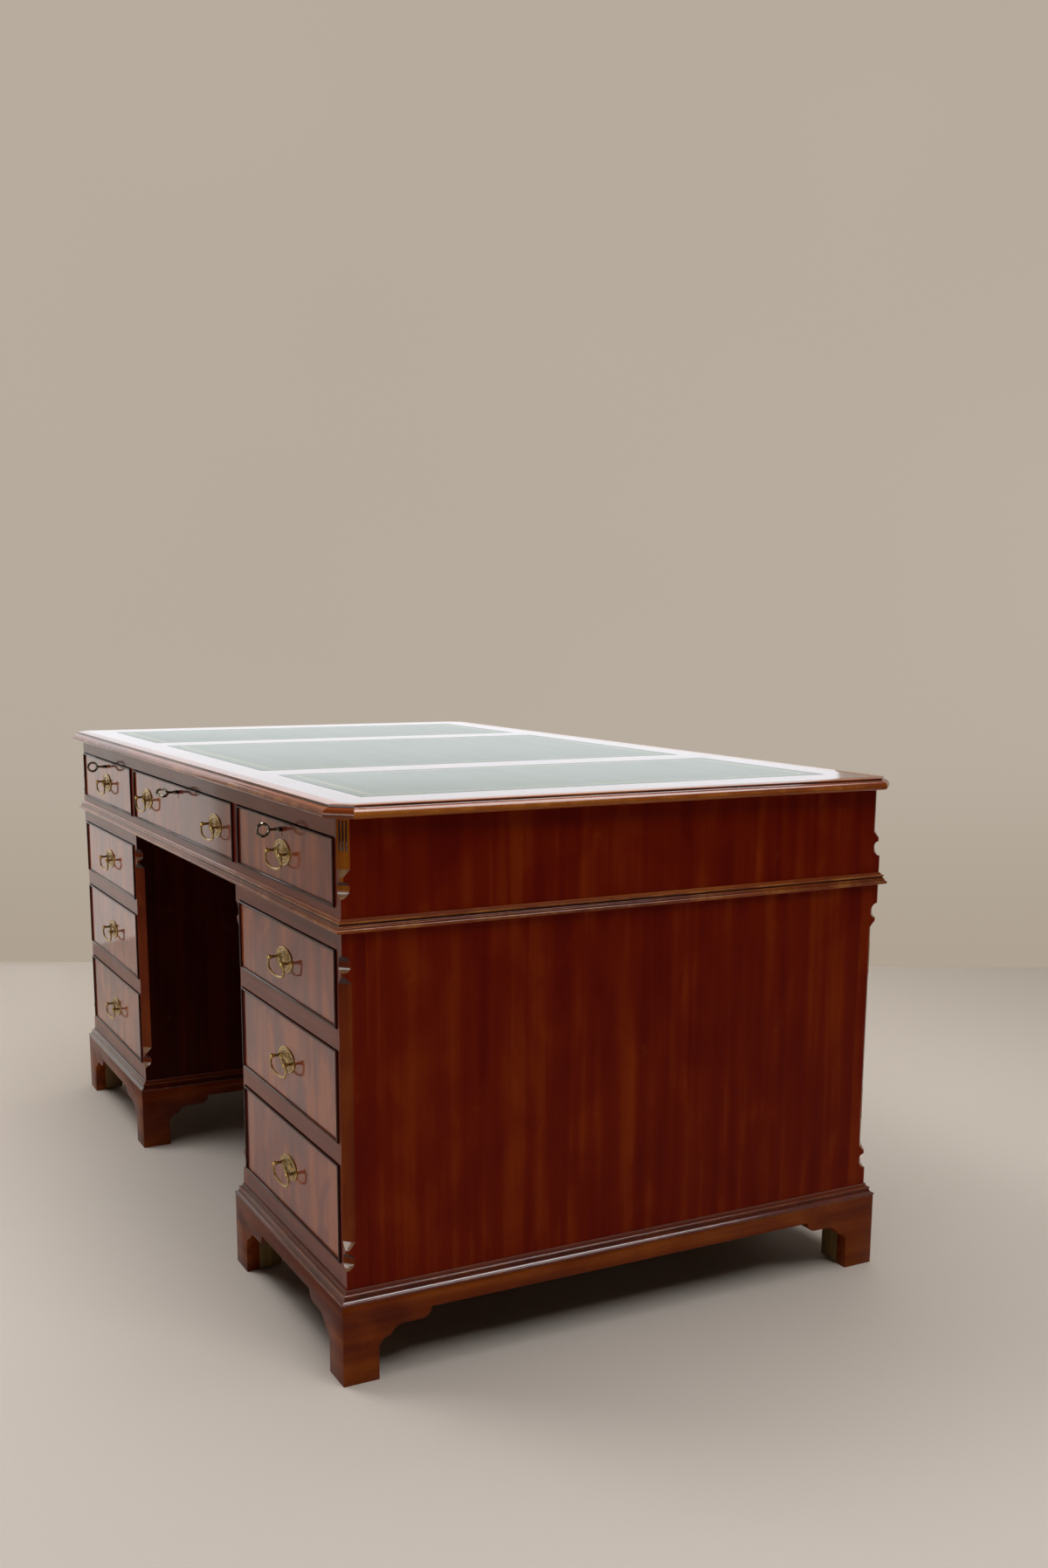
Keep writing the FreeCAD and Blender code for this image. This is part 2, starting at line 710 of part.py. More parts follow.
# ---------------------------------------------------------------------------------------------
# Pedestals: side panels, floor and ceiling boards, rails, partition and door stops
# ---------------------------------------------------------------------------------------------
def make_pedestals():
    """The fixed boards of both pedestals."""
    side = board("pedestal_side", ("panel_outer", "half_length"), between_posts(),
                 ("plinth_height", "frieze_base"))
    inside = ("panel_inner", "panel_outer")
    boards = [with_mirror(side, "x", "pedestal_centre")]
    for name, level in (("floor", "lower_floor"), ("ceiling", "frieze_base")):
        boards.append(board("pedestal_" + name, inside, ("0 - back_of_rail", "back_of_rail"),
                            (f"{level} - dust_board_thickness", level)))
    boards.append(board("pedestal_partition", inside,
                        ("0 - partition_thickness / 2", "partition_thickness / 2"),
                        ("lower_floor", "frieze_base - dust_board_thickness")))
    boards.append(board("door_stop", ("opening_inner", "opening_inner + door_stop_width"),
                        ("half_depth - post_depth",
                         "half_depth - door_thickness - running_gap"),
                        ("lower_floor", "pedestal_ceiling")))
    node("pedestal_panels", [with_mirror(group("pedestal_boards", boards), "x")])

    across = ("opening_inner", "opening_outer")
    front = ("0 - half_depth", "0 - back_of_rail")
    rear = ("back_of_rail", "half_depth")
    rails = []
    for index, (low, high) in enumerate((
            ("middle_floor - drawer_rail", "middle_floor"),
            ("upper_floor - drawer_rail", "upper_floor"))):
        rails.append(board(f"front_rail_{index}", across, front, (low, high)))
    for index, (low, high) in enumerate((
            ("plinth_height", "lower_floor"), ("pedestal_ceiling", "frieze_base"))):
        rails.append(board(f"front_end_rail_{index}", across, front, (low, high)))
        rails.append(board(f"rear_end_rail_{index}", across, rear, (low, high)))
    node("pedestal_rails", [with_mirror(group("pedestal_rail_set", rails), "x")])


# ---------------------------------------------------------------------------------------------
# Plinth: scrolled bracket boards, mitred at the feet, with corner blocks and a moulding
# ---------------------------------------------------------------------------------------------
def bracket_outline(half_run):
    """The outline of a plinth board with a scrolled bracket foot at each end. Each bracket
    rises in two coves with a point between them, runs flat and ends in a rounded nose."""
    first = "foot_width + bracket_cove"
    second = f"{first} + bracket_second_cove"
    level = "foot_height + bracket_cove + bracket_second_rise"
    flat = f"{second} + bracket_flat"
    nose = f"{flat} + bracket_nose"
    apron = f"{level} + bracket_nose"
    outline = [(f"0 - ({half_run})", "0")]
    for sign, bend in ((-1, 1), (1, -1)):
        side = [("foot_width", "0", None), ("foot_width", "foot_height", None),
                (first, "foot_height + bracket_cove", ("bracket_cove * 1.02", -bend)),
                (second, level, ("bracket_second_cove * 1.15", -bend)),
                (flat, level, None), (nose, apron, ("bracket_nose * 1.02", bend))]
        bends = [item[2] for item in side]
        if sign > 0:
            side = side[::-1]
            bends = [None] + bends[::-1][:-1]
        for (inset, up, _), arc in zip(side, bends):
            across = f"{sign} * (({half_run}) - ({inset}))"
            if arc is None:
                outline.append((across, up))
            else:
                outline.append((across, up, arc[0], arc[1] * bend))
    outline.append((half_run, "0"))
    outline += [(half_run, "plinth_height"), (f"0 - ({half_run})", "plinth_height")]
    return outline


def make_plinths():
    """The plinth boards, their corner blocks and the moulding on top of them."""
    boards = []
    for name, half_run, half_place in (("side", "plinth_half_depth", "plinth_half_width"),
                                       ("front", "plinth_half_width", "plinth_half_depth")):
        pad = padded_body(f"plinth_{name}_board", "XZ_Plane", bracket_outline(half_run),
                          "plinth_thickness")
        turn(pad, FreeCAD.Rotation(), y="plinth_thickness / 2")
        inner_run = f"2 * ({half_run}) - 2 * plinth_thickness"
        plank = mitred(f"plinth_{name}", pad, inner_run, "plinth_thickness", SQUARE_CORNER,
                       "0", "plinth_height")
        inner_place = f"({half_place}) - plinth_thickness"
        if name == "side":
            turn(plank, FreeCAD.Rotation(Z_AXIS, -QUARTER_TURN),
                 f"pedestal_centre + {inner_place}")
            boards.append(with_mirror(plank, "x", "pedestal_centre"))
        else:
            turn(plank, FreeCAD.Rotation(), "pedestal_centre", inner_place)
            boards.append(with_mirror(plank, "y"))
    corner_x = "pedestal_centre + plinth_half_width - plinth_thickness"
    corner_y = "plinth_half_depth - plinth_thickness"
    block = board("corner_block", (f"{corner_x} - block_size", corner_x),
                  (f"{corner_y} - block_size", corner_y), ("block_shortfall", "plinth_height"))
    blocks = with_mirror(with_mirror(block, "x", "pedestal_centre"), "y")
    node("bracket_plinths", [with_mirror(group("plinth_boards", [*boards, blocks]), "x")])

    out = "plinth_moulding_projection"
    nose_top = "plinth_nose"
    cove_top = f"{nose_top} + plinth_cove"
    bead_top = f"{cove_top} + plinth_bead"
    bead_out = "plinth_moulding_projection * 0.42"
    section = profile("plinth_section", [
        ("0", "0"),
        ("plinth_projection", "0"),
        (out, "plinth_nose / 3"),
        (out, "plinth_nose * 2 / 3"),
        ("plinth_projection - plinth_nose / 3", nose_top),
        (f"{out} * 0.5", cove_top, "plinth_cove * 1.2", -1),
        (bead_out, cove_top),
        *eased_bead(bead_out, cove_top, bead_top),
        (f"{out} * 0.3", bead_top),
        (f"{out} * 0.16", "plinth_moulding_height - plinth_fillet"),
        (f"{out} * 0.16", "plinth_moulding_height"),
        ("0", "plinth_moulding_height")])
    strips = frame_strips("plinth_moulding_strip", section, "pedestal_width", "carcass_depth",
                          out, "0", "plinth_moulding_height", "pedestal_centre",
                          z="plinth_height")
    return with_mirror(group("plinth_moulding_set", strips), "x")


# ---------------------------------------------------------------------------------------------
# Handles, keys and locks. Their own Z axis points out of the drawer and their Y axis up.
# ---------------------------------------------------------------------------------------------
def oval(name, half_width, half_height, low, high):
    """An oval disc between two heights above the drawer front."""
    angles = [2 * HALF_TURN * index / OVAL_SIDES for index in range(OVAL_SIDES)]
    outline = profile(name + "_outline", [
        (f"({half_width}) * cos({angle})", f"({half_height}) * sin({angle})")
        for angle in angles], FreeCAD.Rotation())
    disc = doc.addObject("Part::Extrusion", name)
    disc.Base = outline
    disc.DirMode = "Custom"
    disc.Dir = Z_AXIS
    disc.Solid = True
    bind(disc, LengthFwd=f"({high}) - ({low})")
    return turn(disc, FreeCAD.Rotation(), z=low)


def handle_form():
    """The raised oval plate with the two ball-ended studs that it carries, and their nuts."""
    inner = ("plate_half_width - plate_border", "plate_half_height - plate_border")
    rim = oval("plate_rim", "plate_half_width", "plate_half_height", "0", "plate_thickness")
    boss = oval("plate_boss", *inner, "0", "plate_thickness + plate_boss_rise")
    shank = bar("stud_shank", "shank_radius", "front_thickness + plate_thickness",
                FreeCAD.Rotation(), z="0 - front_thickness")
    stem = bar("stud_stem", "stem_radius", "ball_height - plate_thickness", FreeCAD.Rotation(),
               z="plate_thickness")
    eye = hole("stud_eye", "bail_radius + pin_clearance", "4 * stem_radius",
               FreeCAD.Rotation(Y_AXIS, QUARTER_TURN), "0 - 2 * stem_radius", z="pivot_height")
    knob = bar("stud_knob", "ball_radius", "2 * ball_radius", FreeCAD.Rotation(),
               z="ball_height - ball_radius")
    stud = turn(cut("handle_stud", fused("stud_turning", [shank, stem, knob]), eye),
                FreeCAD.Rotation(), "handle_half_span")
    nut = bar("handle_nut", "nut_radius", "nut_thickness", FreeCAD.Rotation(),
              "handle_half_span", z="0 - front_thickness - nut_thickness")
    plate = fused("handle_plate", [rim, boss, stud, mirrored(stud, "x")])
    return group("handle_form", [plate, with_mirror(nut, "x")])


def bail_form():
    """The bail: a wire bent to a round-cornered loop, with its ends turned into the studs. Its
    corners lie on a small arc at each shoulder and on a large one along the bottom."""
    foot = "(bail_drop - bail_neck)"
    reach, slack = "(bail_half_width - bail_corner)", f"({foot} - bail_corner)"
    lift = f"(({reach} * {reach} - {slack} * {slack}) / (2 * {slack}))"
    lean = f"atan({reach} / {lift})"
    half = [("handle_half_span - stem_radius", "0"), ("bail_half_width", "0"),
            ("bail_half_width", "0 - bail_neck")]
    for share in (1 / 2, 1):
        angle = f"(90 deg - {lean}) * {share}"
        half.append((f"{reach} + bail_corner * cos({angle})",
                     f"0 - bail_neck - bail_corner * sin({angle})"))
    half.append((f"({lift} + {foot}) * sin({lean} / 3)",
                 f"{lift} - bail_neck - ({lift} + {foot}) * cos({lean} / 3)"))
    other_half = [(f"0 - ({across})", up) for across, up in half[::-1]]
    return bent_wire("bail_form", "bail_radius", half + other_half)


def key_form(name, turned):
    """A key: ring bow, shaft with collars, and a bit inside the lock."""
    end = "front_thickness + lock_chamber"
    pieces = [bar(name + "_shaft", "key_shaft_radius", f"{end} + key_bow_height + key_bow_wire",
                  FreeCAD.Rotation(), z=f"0 - ({end})")]
    for index, (low, high) in enumerate((("key_barrel_foot", "key_barrel_top"),
                                         ("key_ring_foot", "key_ring_top"))):
        pieces.append(bar(f"{name}_collar_{index}", "key_collar_radius", f"{high} - {low}",
                          FreeCAD.Rotation(), z=low))
    corner = f"key_bow_radius / cos({HALF_TURN / BOW_SIDES})"
    angles = [HALF_TURN * step / BOW_SIDES for step in range(1, BOW_SIDES, 2)]
    half_bow = bent_wire(name + "_half_bow", "key_bow_wire", [
        ("0", "0 - key_bow_radius"),
        *[(f"{corner} * sin({angle})", f"0 - {corner} * cos({angle})") for angle in angles],
        ("0", "key_bow_radius")])
    turn(half_bow, PROFILE_ACROSS, z="key_bow_height + key_bow_radius")
    pieces += [half_bow, mirrored(half_bow, "y")]
    pieces.append(board(name + "_bit", ("0 - key_bit_width / 2", "key_bit_width / 2"),
                        ("0 - key_bit_reach", "0"),
                        (f"0 - ({end})", f"0 - ({end}) + key_bit_thickness")))
    form = fused(name, pieces)
    form.Placement = FreeCAD.Placement(FreeCAD.Vector(), FreeCAD.Rotation(Z_AXIS, 1.0))
    bind(form, Placement__Rotation__Angle=turned)
    return form


def placed(name, form, rotation, x, y, z):
    """A copy of a form at its place on the desk."""
    return turn(group(name, [form]), rotation, x, y, z)


# ---------------------------------------------------------------------------------------------
# Drawers
# ---------------------------------------------------------------------------------------------
def bead_section(name, foot):
    """The section of a bead with an eased nose, from its foot to the height it stands proud."""
    eased = "bead_proud - bead_bevel"
    return profile(name, [("0", foot), ("bead_thickness", foot), ("bead_thickness", eased),
                          ("bead_thickness - bead_bevel", "bead_proud"),
                          ("bead_bevel", "bead_proud"), ("0", eased)])


BEAD_SECTION = bead_section("cock_bead_section", "0 - front_thickness")
HANDLE = handle_form()
BAIL = bail_form()


def drawer_front(name, x, width, floor, height, offsets, lock):
    """The veneered front with its holes for studs and key, and the mitred cock bead."""
    margin = "drawer_gap + bead_thickness"
    blank = board(name + "_front_blank",
                  (f"{x} - ({width}) / 2 + {margin}", f"{x} + ({width}) / 2 - ({margin})"),
                  ("0 - half_depth", "0 - half_depth + front_thickness"),
                  (f"{floor} + {margin}", f"{floor} + {height} - ({margin})"))
    middle = f"{floor} + {height} / 2"
    tools = [hole(f"{name}_hole_{index}", "shank_radius + hole_clearance",
                  "3 * front_thickness", UPRIGHT_REAR, f"{x} + ({offset})",
                  "0 - half_depth - front_thickness", middle)
             for index, offset in enumerate(stud_places(offsets))]
    if lock:
        tools.append(hole(name + "_keyhole", "key_shaft_radius + hole_clearance",
                          "3 * front_thickness", UPRIGHT_REAR, x,
                          "0 - half_depth - front_thickness", "key_height"))
        half_slot = "key_bit_width / 2 + hole_clearance"
        tools.append(board(name + "_keyhole_slot", (f"{x} - ({half_slot})", f"{x} + {half_slot}"),
                           ("0 - half_depth - front_thickness",
                            "0 - half_depth + 2 * front_thickness"),
                           ("key_height - keyhole_slot", "key_height")))
    bottom = drawer_bottom(name, x, width, floor)
    front = cut(name + "_front", blank, fused(name + "_front_holes", [*tools, bottom]))
    beads = group(name + "_beads", frame_strips(
        name + "_bead", BEAD_SECTION, f"({width}) - 2 * ({margin})",
        f"{height} - 2 * ({margin})", "bead_thickness", "0 - front_thickness", "bead_proud"))
    turn(beads, UPRIGHT, x, "0 - half_depth", middle)
    return [front, beads], bottom


def stud_places(offsets):
    """Where the studs of the handles stand, from the middle of the drawer."""
    return [f"{offset} + {side} * handle_half_span" for offset in offsets for side in (-1, 1)]


def drawer_bottom(name, x, width, floor):
    """The bottom board, let into grooves in the sides and the front."""
    inset = "side_clearance + drawer_side - groove_depth"
    level = f"{floor} + running_gap + bottom_rise"
    return board(name + "_bottom",
                 (f"{x} - ({width}) / 2 + {inset}", f"{x} + ({width}) / 2 - ({inset})"),
                 ("0 - half_depth + front_thickness - groove_depth",
                  "0 - half_depth + drawer_depth"),
                 (level, f"{level} + drawer_bottom"))


def make_drawer(name, x, width, floor, height, offsets=("0",), lock=False):
    """The wooden pieces of a drawer and its brass."""
    pieces, bottom = drawer_front(name, x, width, floor, height, offsets, lock)
    side_base = f"{floor} + running_gap"
    side_top = f"{floor} + {height} - side_shortfall"
    for side, sign in (("left", -1), ("right", 1)):
        outer = f"{x} + {sign} * (({width}) / 2 - side_clearance)"
        inner = f"{x} + {sign} * (({width}) / 2 - side_clearance - drawer_side)"
        across = (outer, inner) if sign < 0 else (inner, outer)
        blank = board(f"{name}_{side}_blank", across,
                      ("0 - half_depth + front_thickness", "0 - half_depth + drawer_depth"),
                      (side_base, side_top))
        pieces.append(cut(f"{name}_{side}_side", blank, bottom))
    reach = f"({width}) / 2 - side_clearance - drawer_side"
    pieces.append(board(name + "_back", (f"{x} - ({reach})", f"{x} + {reach}"),
                        ("0 - half_depth + drawer_depth - drawer_back",
                         "0 - half_depth + drawer_depth"),
                        (f"{side_base} + bottom_rise + drawer_bottom", side_top)))
    wood = node(name, [*pieces, bottom])
    middle = f"{floor} + {height} / 2"
    brass = [placed(f"{name}_handle_{index}", HANDLE, UPRIGHT, f"{x} + ({offset})",
                    "0 - half_depth", middle) for index, offset in enumerate(offsets)]
    if lock:
        brass.append(lock_case(name, x))
    brass = node(name + "_brass", brass)
    return wood, brass


def lock_case(name, x):
    """The lock case behind the front, with a round chamber for the key and a slot for the bolt."""
    face = "0 - half_depth + front_thickness"
    top = "frieze_ceiling - drawer_gap - bead_thickness"
    case = board(name + "_lock_blank", (f"{x} - lock_half_width", f"{x} + lock_half_width"),
                 (face, f"{face} + lock_thickness"), (f"{top} - lock_height", top))
    chamber = hole(name + "_lock_chamber", "key_bit_reach + bolt_clearance",
                   "lock_chamber + bolt_clearance + front_thickness", UPRIGHT_REAR, x,
                   "0 - half_depth", "key_height", CHAMBER_SIDES)
    half_slot = "bolt_half_width + bolt_clearance"
    slot = board(name + "_bolt_slot", (f"{x} - ({half_slot})", f"{x} + {half_slot}"),
                 ("bolt_face - bolt_clearance", "bolt_face + bolt_thickness + bolt_clearance"),
                 ("bolt_top - bolt_height - bolt_clearance", "frieze_ceiling"))
    return cut(name + "_lock", case, fused(name + "_lock_hollows", [chamber, slot]))


def make_bail(label, x, side, height):
    """A bail on the front (side -1) or the rear (side +1) of the desk."""
    rotation = UPRIGHT if side < 0 else FreeCAD.Rotation(Z_AXIS, HALF_TURN) * UPRIGHT
    thing = placed(label, BAIL, rotation, x, f"{side} * (half_depth + pivot_height)", height)
    thing.Label = label
    nodes.append(thing)


def make_lock_parts(place, x, key, turned):
    """The key and the bolt of one drawer lock. A turned key has lifted the bolt a little."""
    lift = f"bolt_throw * ({turned}) / {HALF_TURN}"
    node(f"{place}_key", [placed(f"{place}_key_place", key, UPRIGHT, x, "0 - half_depth",
                                 "key_height")])
    node(f"{place}_lock_bolt", [
        board(f"{place}_bolt_plate", (f"{x} - bolt_half_width", f"{x} + bolt_half_width"),
              ("bolt_face", "bolt_face + bolt_thickness"),
              (f"bolt_top - bolt_height + {lift}", f"bolt_top + {lift}"))])


def make_drawers():
    """All twelve drawers with their bails, keys and bolts."""
    frieze_middle = "frieze_floor + frieze_opening / 2"
    centre_width = "2 * divider_inner"
    right = make_drawer("front_right_frieze_drawer", "pedestal_centre", "opening_width",
                        "frieze_floor", "frieze_opening", lock=True)
    offsets = ("0 - handle_offset", "handle_offset")
    centre = make_drawer("front_centre_frieze_drawer", "0", centre_width, "frieze_floor",
                         "frieze_opening", offsets, lock=True)
    for kind, source_right, source_centre in (("", right[0], centre[0]),
                                              ("_brass", right[1], centre[1])):
        copy_node("front_left_frieze_drawer" + kind, source_right, "x")
        rear_right = copy_node("rear_right_frieze_drawer" + kind, source_right, "y")
        copy_node("rear_left_frieze_drawer" + kind, rear_right, "x")
        copy_node("rear_centre_frieze_drawer" + kind, source_centre, "y")
    for level, floor, height in (("upper", "upper_floor", "upper_opening"),
                                 ("middle", "middle_floor", "middle_opening"),
                                 ("lower", "lower_floor", "lower_opening")):
        name = f"right_{level}_drawer"
        wood, brass = make_drawer(name, "pedestal_centre", "opening_width", floor, height)
        copy_node(f"left_{level}_drawer", wood, "x")
        copy_node(f"left_{level}_drawer_brass", brass, "x")
        for side, x in (("right", "pedestal_centre"), ("left", "0 - pedestal_centre")):
            make_bail(f"{side}_{level}_bail", x, -1, f"{floor} + {height} / 2")
    for row, side in (("front", -1), ("rear", 1)):
        for place, x in (("left", "0 - pedestal_centre"), ("centre_left", "0 - handle_offset"),
                         ("centre_right", "handle_offset"), ("right", "pedestal_centre")):
            make_bail(f"{row}_{place}_bail", x, side, frieze_middle)
    straight_key = key_form("straight_key", "0")
    turned_key = key_form("turned_key", "key_turned")
    for place, key, turned, x in zip(("left", "centre", "right"),
                                     (straight_key, turned_key, straight_key),
                                     ("0", "key_turned", "0"), locks_along()):
        make_lock_parts(place, x, key, turned)


# ---------------------------------------------------------------------------------------------
# Cupboard doors with butt hinges
# ---------------------------------------------------------------------------------------------
def hinge_places():
    """The foot of the lower and the upper hinge."""
    return ("lower_floor + hinge_inset", "pedestal_ceiling - hinge_inset - hinge_length")


def hinge_leaf(name, foot, x, moving):
    """A hinge leaf in the gap beside the door. The middle third of the knuckle is the door's,
    the two outer ones and the pin are the post's."""
    third = "hinge_length / 3"
    plate = board(name + "_plate", (x, f"{x} + leaf_thickness"),
                  ("half_depth - leaf_width", "half_depth"), (foot, f"{foot} + hinge_length"))
    spans = [(f"{foot} + {third} + knuckle_gap", f"{foot} + 2 * {third} - knuckle_gap")] if moving \
        else [(foot, f"{foot} + {third}"), (f"{foot} + 2 * {third}", f"{foot} + hinge_length")]
    pieces = [plate]
    for index, (low, high) in enumerate(spans):
        pieces.append(board(f"{name}_web_{index}", (x, f"{x} + leaf_thickness"),
                            ("half_depth", "hinge_axis_y"), (low, high)))
        pieces.append(bar(f"{name}_knuckle_{index}", "knuckle_radius", f"({high}) - ({low})",
                          FreeCAD.Rotation(), "hinge_axis_x", "hinge_axis_y", low))
    if moving:
        bore = hole(name + "_bore", "hinge_pin_radius + pin_clearance", "hinge_length",
                    FreeCAD.Rotation(), "hinge_axis_x", "hinge_axis_y", foot)
        return cut(name, fused(name + "_solid", pieces), bore)
    pieces.append(bar(name + "_pin", "hinge_pin_radius", "hinge_length", FreeCAD.Rotation(),
                      "hinge_axis_x", "hinge_axis_y", foot))
    return fused(name, pieces)


def make_doors():
    """The two cupboard doors, their planted beads, escutcheons and hinges."""
    low_x, high_x = "opening_inner + door_gap", "opening_outer - door_gap"
    low_z, high_z = "lower_floor + door_gap", "pedestal_ceiling - door_gap"
    keyhole_x = f"{low_x} + escutcheon_inset"
    keyhole_z = f"(({low_z}) + ({high_z})) / 2"
    bore = hole("door_keyhole", "key_shaft_radius + hole_clearance", "3 * door_thickness",
                UPRIGHT, keyhole_x, "half_depth + door_thickness", keyhole_z)
    panel = cut("door_panel", board("door_blank", (low_x, high_x),
                                    ("half_depth - door_thickness", "half_depth"),
                                    (low_z, high_z)), bore)
    section = bead_section("planted_bead_section", "0")
    inset = "2 * (door_bead_inset + bead_thickness)"
    beads = group("door_beads", frame_strips(
        "door_bead", section, f"({high_x}) - ({low_x}) - {inset}",
        f"({high_z}) - ({low_z}) - {inset}", "bead_thickness", "0", "bead_proud"))
    turn(beads, UPRIGHT_REAR, f"(({low_x}) + ({high_x})) / 2", "half_depth", keyhole_z)
    right_door = node("right_cupboard_door", [panel, beads])
    copy_node("left_cupboard_door", right_door, "x")

    disc = oval("escutcheon_disc", "escutcheon_half_height", "escutcheon_half_width", "0",
                "escutcheon_thickness")
    slot = board("escutcheon_slot", ("0 - keyhole_slot", "0"),
                 ("0 - key_bit_width / 2", "key_bit_width / 2"),
                 ("0 - escutcheon_thickness", "2 * escutcheon_thickness"))
    eye = hole("escutcheon_eye", "key_shaft_radius + hole_clearance",
               "3 * escutcheon_thickness", FreeCAD.Rotation(), z="0 - escutcheon_thickness")
    plate = cut("escutcheon_form", disc, fused("escutcheon_hole", [slot, eye]))
    face = FreeCAD.Rotation(Z_AXIS, QUARTER_TURN) * FreeCAD.Rotation(Y_AXIS, QUARTER_TURN)
    escutcheon = placed("escutcheon", plate, face, keyhole_x, "half_depth", keyhole_z)
    moving = [hinge_leaf(f"door_leaf_{index}", foot, high_x, True)
              for index, foot in enumerate(hinge_places())]
    right_brass = node("right_cupboard_door_brass", [escutcheon, *moving])
    copy_node("left_cupboard_door_brass", right_brass, "x")
    fixed = [hinge_leaf(f"post_leaf_{index}", foot, "opening_outer - leaf_thickness", False)
             for index, foot in enumerate(hinge_places())]
    node("post_hinge_leaves", [with_mirror(group("post_leaf_set", fixed), "x")])


# ---------------------------------------------------------------------------------------------
# Build, check and write
# ---------------------------------------------------------------------------------------------
def check_document():
    """Stop if an object failed or a sub-part has no sound shape."""
    for thing in doc.Objects:
        bad = [state for state in thing.State if state in ("Invalid", "Error")]
        if bad:
            raise RuntimeError(f"{thing.Name} is {bad}")
    for thing in nodes:
        if thing.Shape.isNull() or not thing.Shape.isValid() or not thing.Shape.Solids:
            raise RuntimeError(f"{thing.Label} has no sound shape")


def write_parts():
    """Write one STEP file per sub-part."""
    os.makedirs("parts", exist_ok=True)
    for thing in nodes:
        thing.Shape.exportStep(os.path.join("parts", thing.Label + ".step"))
        print(f"{thing.Label}: {len(thing.Shape.Solids)} solids, "
              f"{thing.Shape.Volume / 1000:.1f} cm3")


make_top()
make_posts()
make_frieze()
make_runners()
make_pedestals()
node("carcass_mouldings", [*make_waist_moulding(), make_plinths()])
make_drawers()
make_doors()
doc.recompute()
check_document()
write_parts()
print(f"{len(nodes)} sub-parts")
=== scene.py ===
"""Dressing of a partners desk: polished mahogany, tooled green hide, antique brass and steel keys.

Everything is in metres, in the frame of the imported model: +Z up, -Y the side with the pedestal
drawers, +Y the side with the cupboards. Sizes that belong to a made-up piece are fields of its
class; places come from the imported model's own boxes.
"""
import json
import logging
import math
import random
from dataclasses import dataclass
from enum import Enum
from typing import Callable, ClassVar, Optional, Sequence

import bmesh
import bpy
from mathutils import Matrix, Vector

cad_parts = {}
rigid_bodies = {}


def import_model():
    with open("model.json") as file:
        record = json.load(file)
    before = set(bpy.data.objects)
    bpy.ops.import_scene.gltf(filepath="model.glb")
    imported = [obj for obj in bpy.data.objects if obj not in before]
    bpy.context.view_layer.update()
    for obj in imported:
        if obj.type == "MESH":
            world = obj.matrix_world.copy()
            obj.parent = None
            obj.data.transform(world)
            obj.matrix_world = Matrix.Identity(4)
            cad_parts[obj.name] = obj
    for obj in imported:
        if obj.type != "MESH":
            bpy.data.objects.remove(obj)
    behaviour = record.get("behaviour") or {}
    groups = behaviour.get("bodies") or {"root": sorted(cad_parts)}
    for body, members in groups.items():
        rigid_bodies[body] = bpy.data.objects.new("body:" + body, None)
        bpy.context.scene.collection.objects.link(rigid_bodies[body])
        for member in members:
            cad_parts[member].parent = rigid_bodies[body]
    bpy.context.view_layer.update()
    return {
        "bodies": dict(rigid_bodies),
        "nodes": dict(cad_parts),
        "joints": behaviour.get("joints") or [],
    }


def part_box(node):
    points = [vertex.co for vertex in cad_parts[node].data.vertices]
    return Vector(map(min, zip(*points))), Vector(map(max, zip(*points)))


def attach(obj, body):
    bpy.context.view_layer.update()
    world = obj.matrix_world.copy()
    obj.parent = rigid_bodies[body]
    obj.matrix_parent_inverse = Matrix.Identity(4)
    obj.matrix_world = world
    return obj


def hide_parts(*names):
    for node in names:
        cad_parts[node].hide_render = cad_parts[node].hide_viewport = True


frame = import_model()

LOG = logging.getLogger("partners_desk")
MM = 0.001
MERGE_RATE = 1e5
MERGE_GAP = 1.0 / MERGE_RATE
FLAT_ANGLE = math.radians(0.5)
CREASE_ANGLE = math.radians(24.0)
ARRIS_ANGLE = math.radians(50.0)
SQUARE_ON = 0.9
MOSTLY = 0.5
SLANTING = 0.2
UP = Vector((0.0, 0.0, 1.0))

Spot = tuple[float, float]
Section = tuple[list[Spot], list[float]]
Colour = tuple[float, float, float, float]
Socket = bpy.types.NodeSocket
Node = bpy.types.Node


def paint(red: int, green: int, blue: int) -> Colour:
    """A colour given as it looks on a screen, in linear light.

    Args:
        red: Red, 0 to 255.
        green: Green, 0 to 255.
        blue: Blue, 0 to 255.

    Returns:
        The linear colour with full alpha.
    """
    parts = [value / 255.0 for value in (red, green, blue)]
    linear = [v / 12.92 if v <= 0.04045 else ((v + 0.055) / 1.055) ** 2.4 for v in parts]
    return (linear[0], linear[1], linear[2], 1.0)


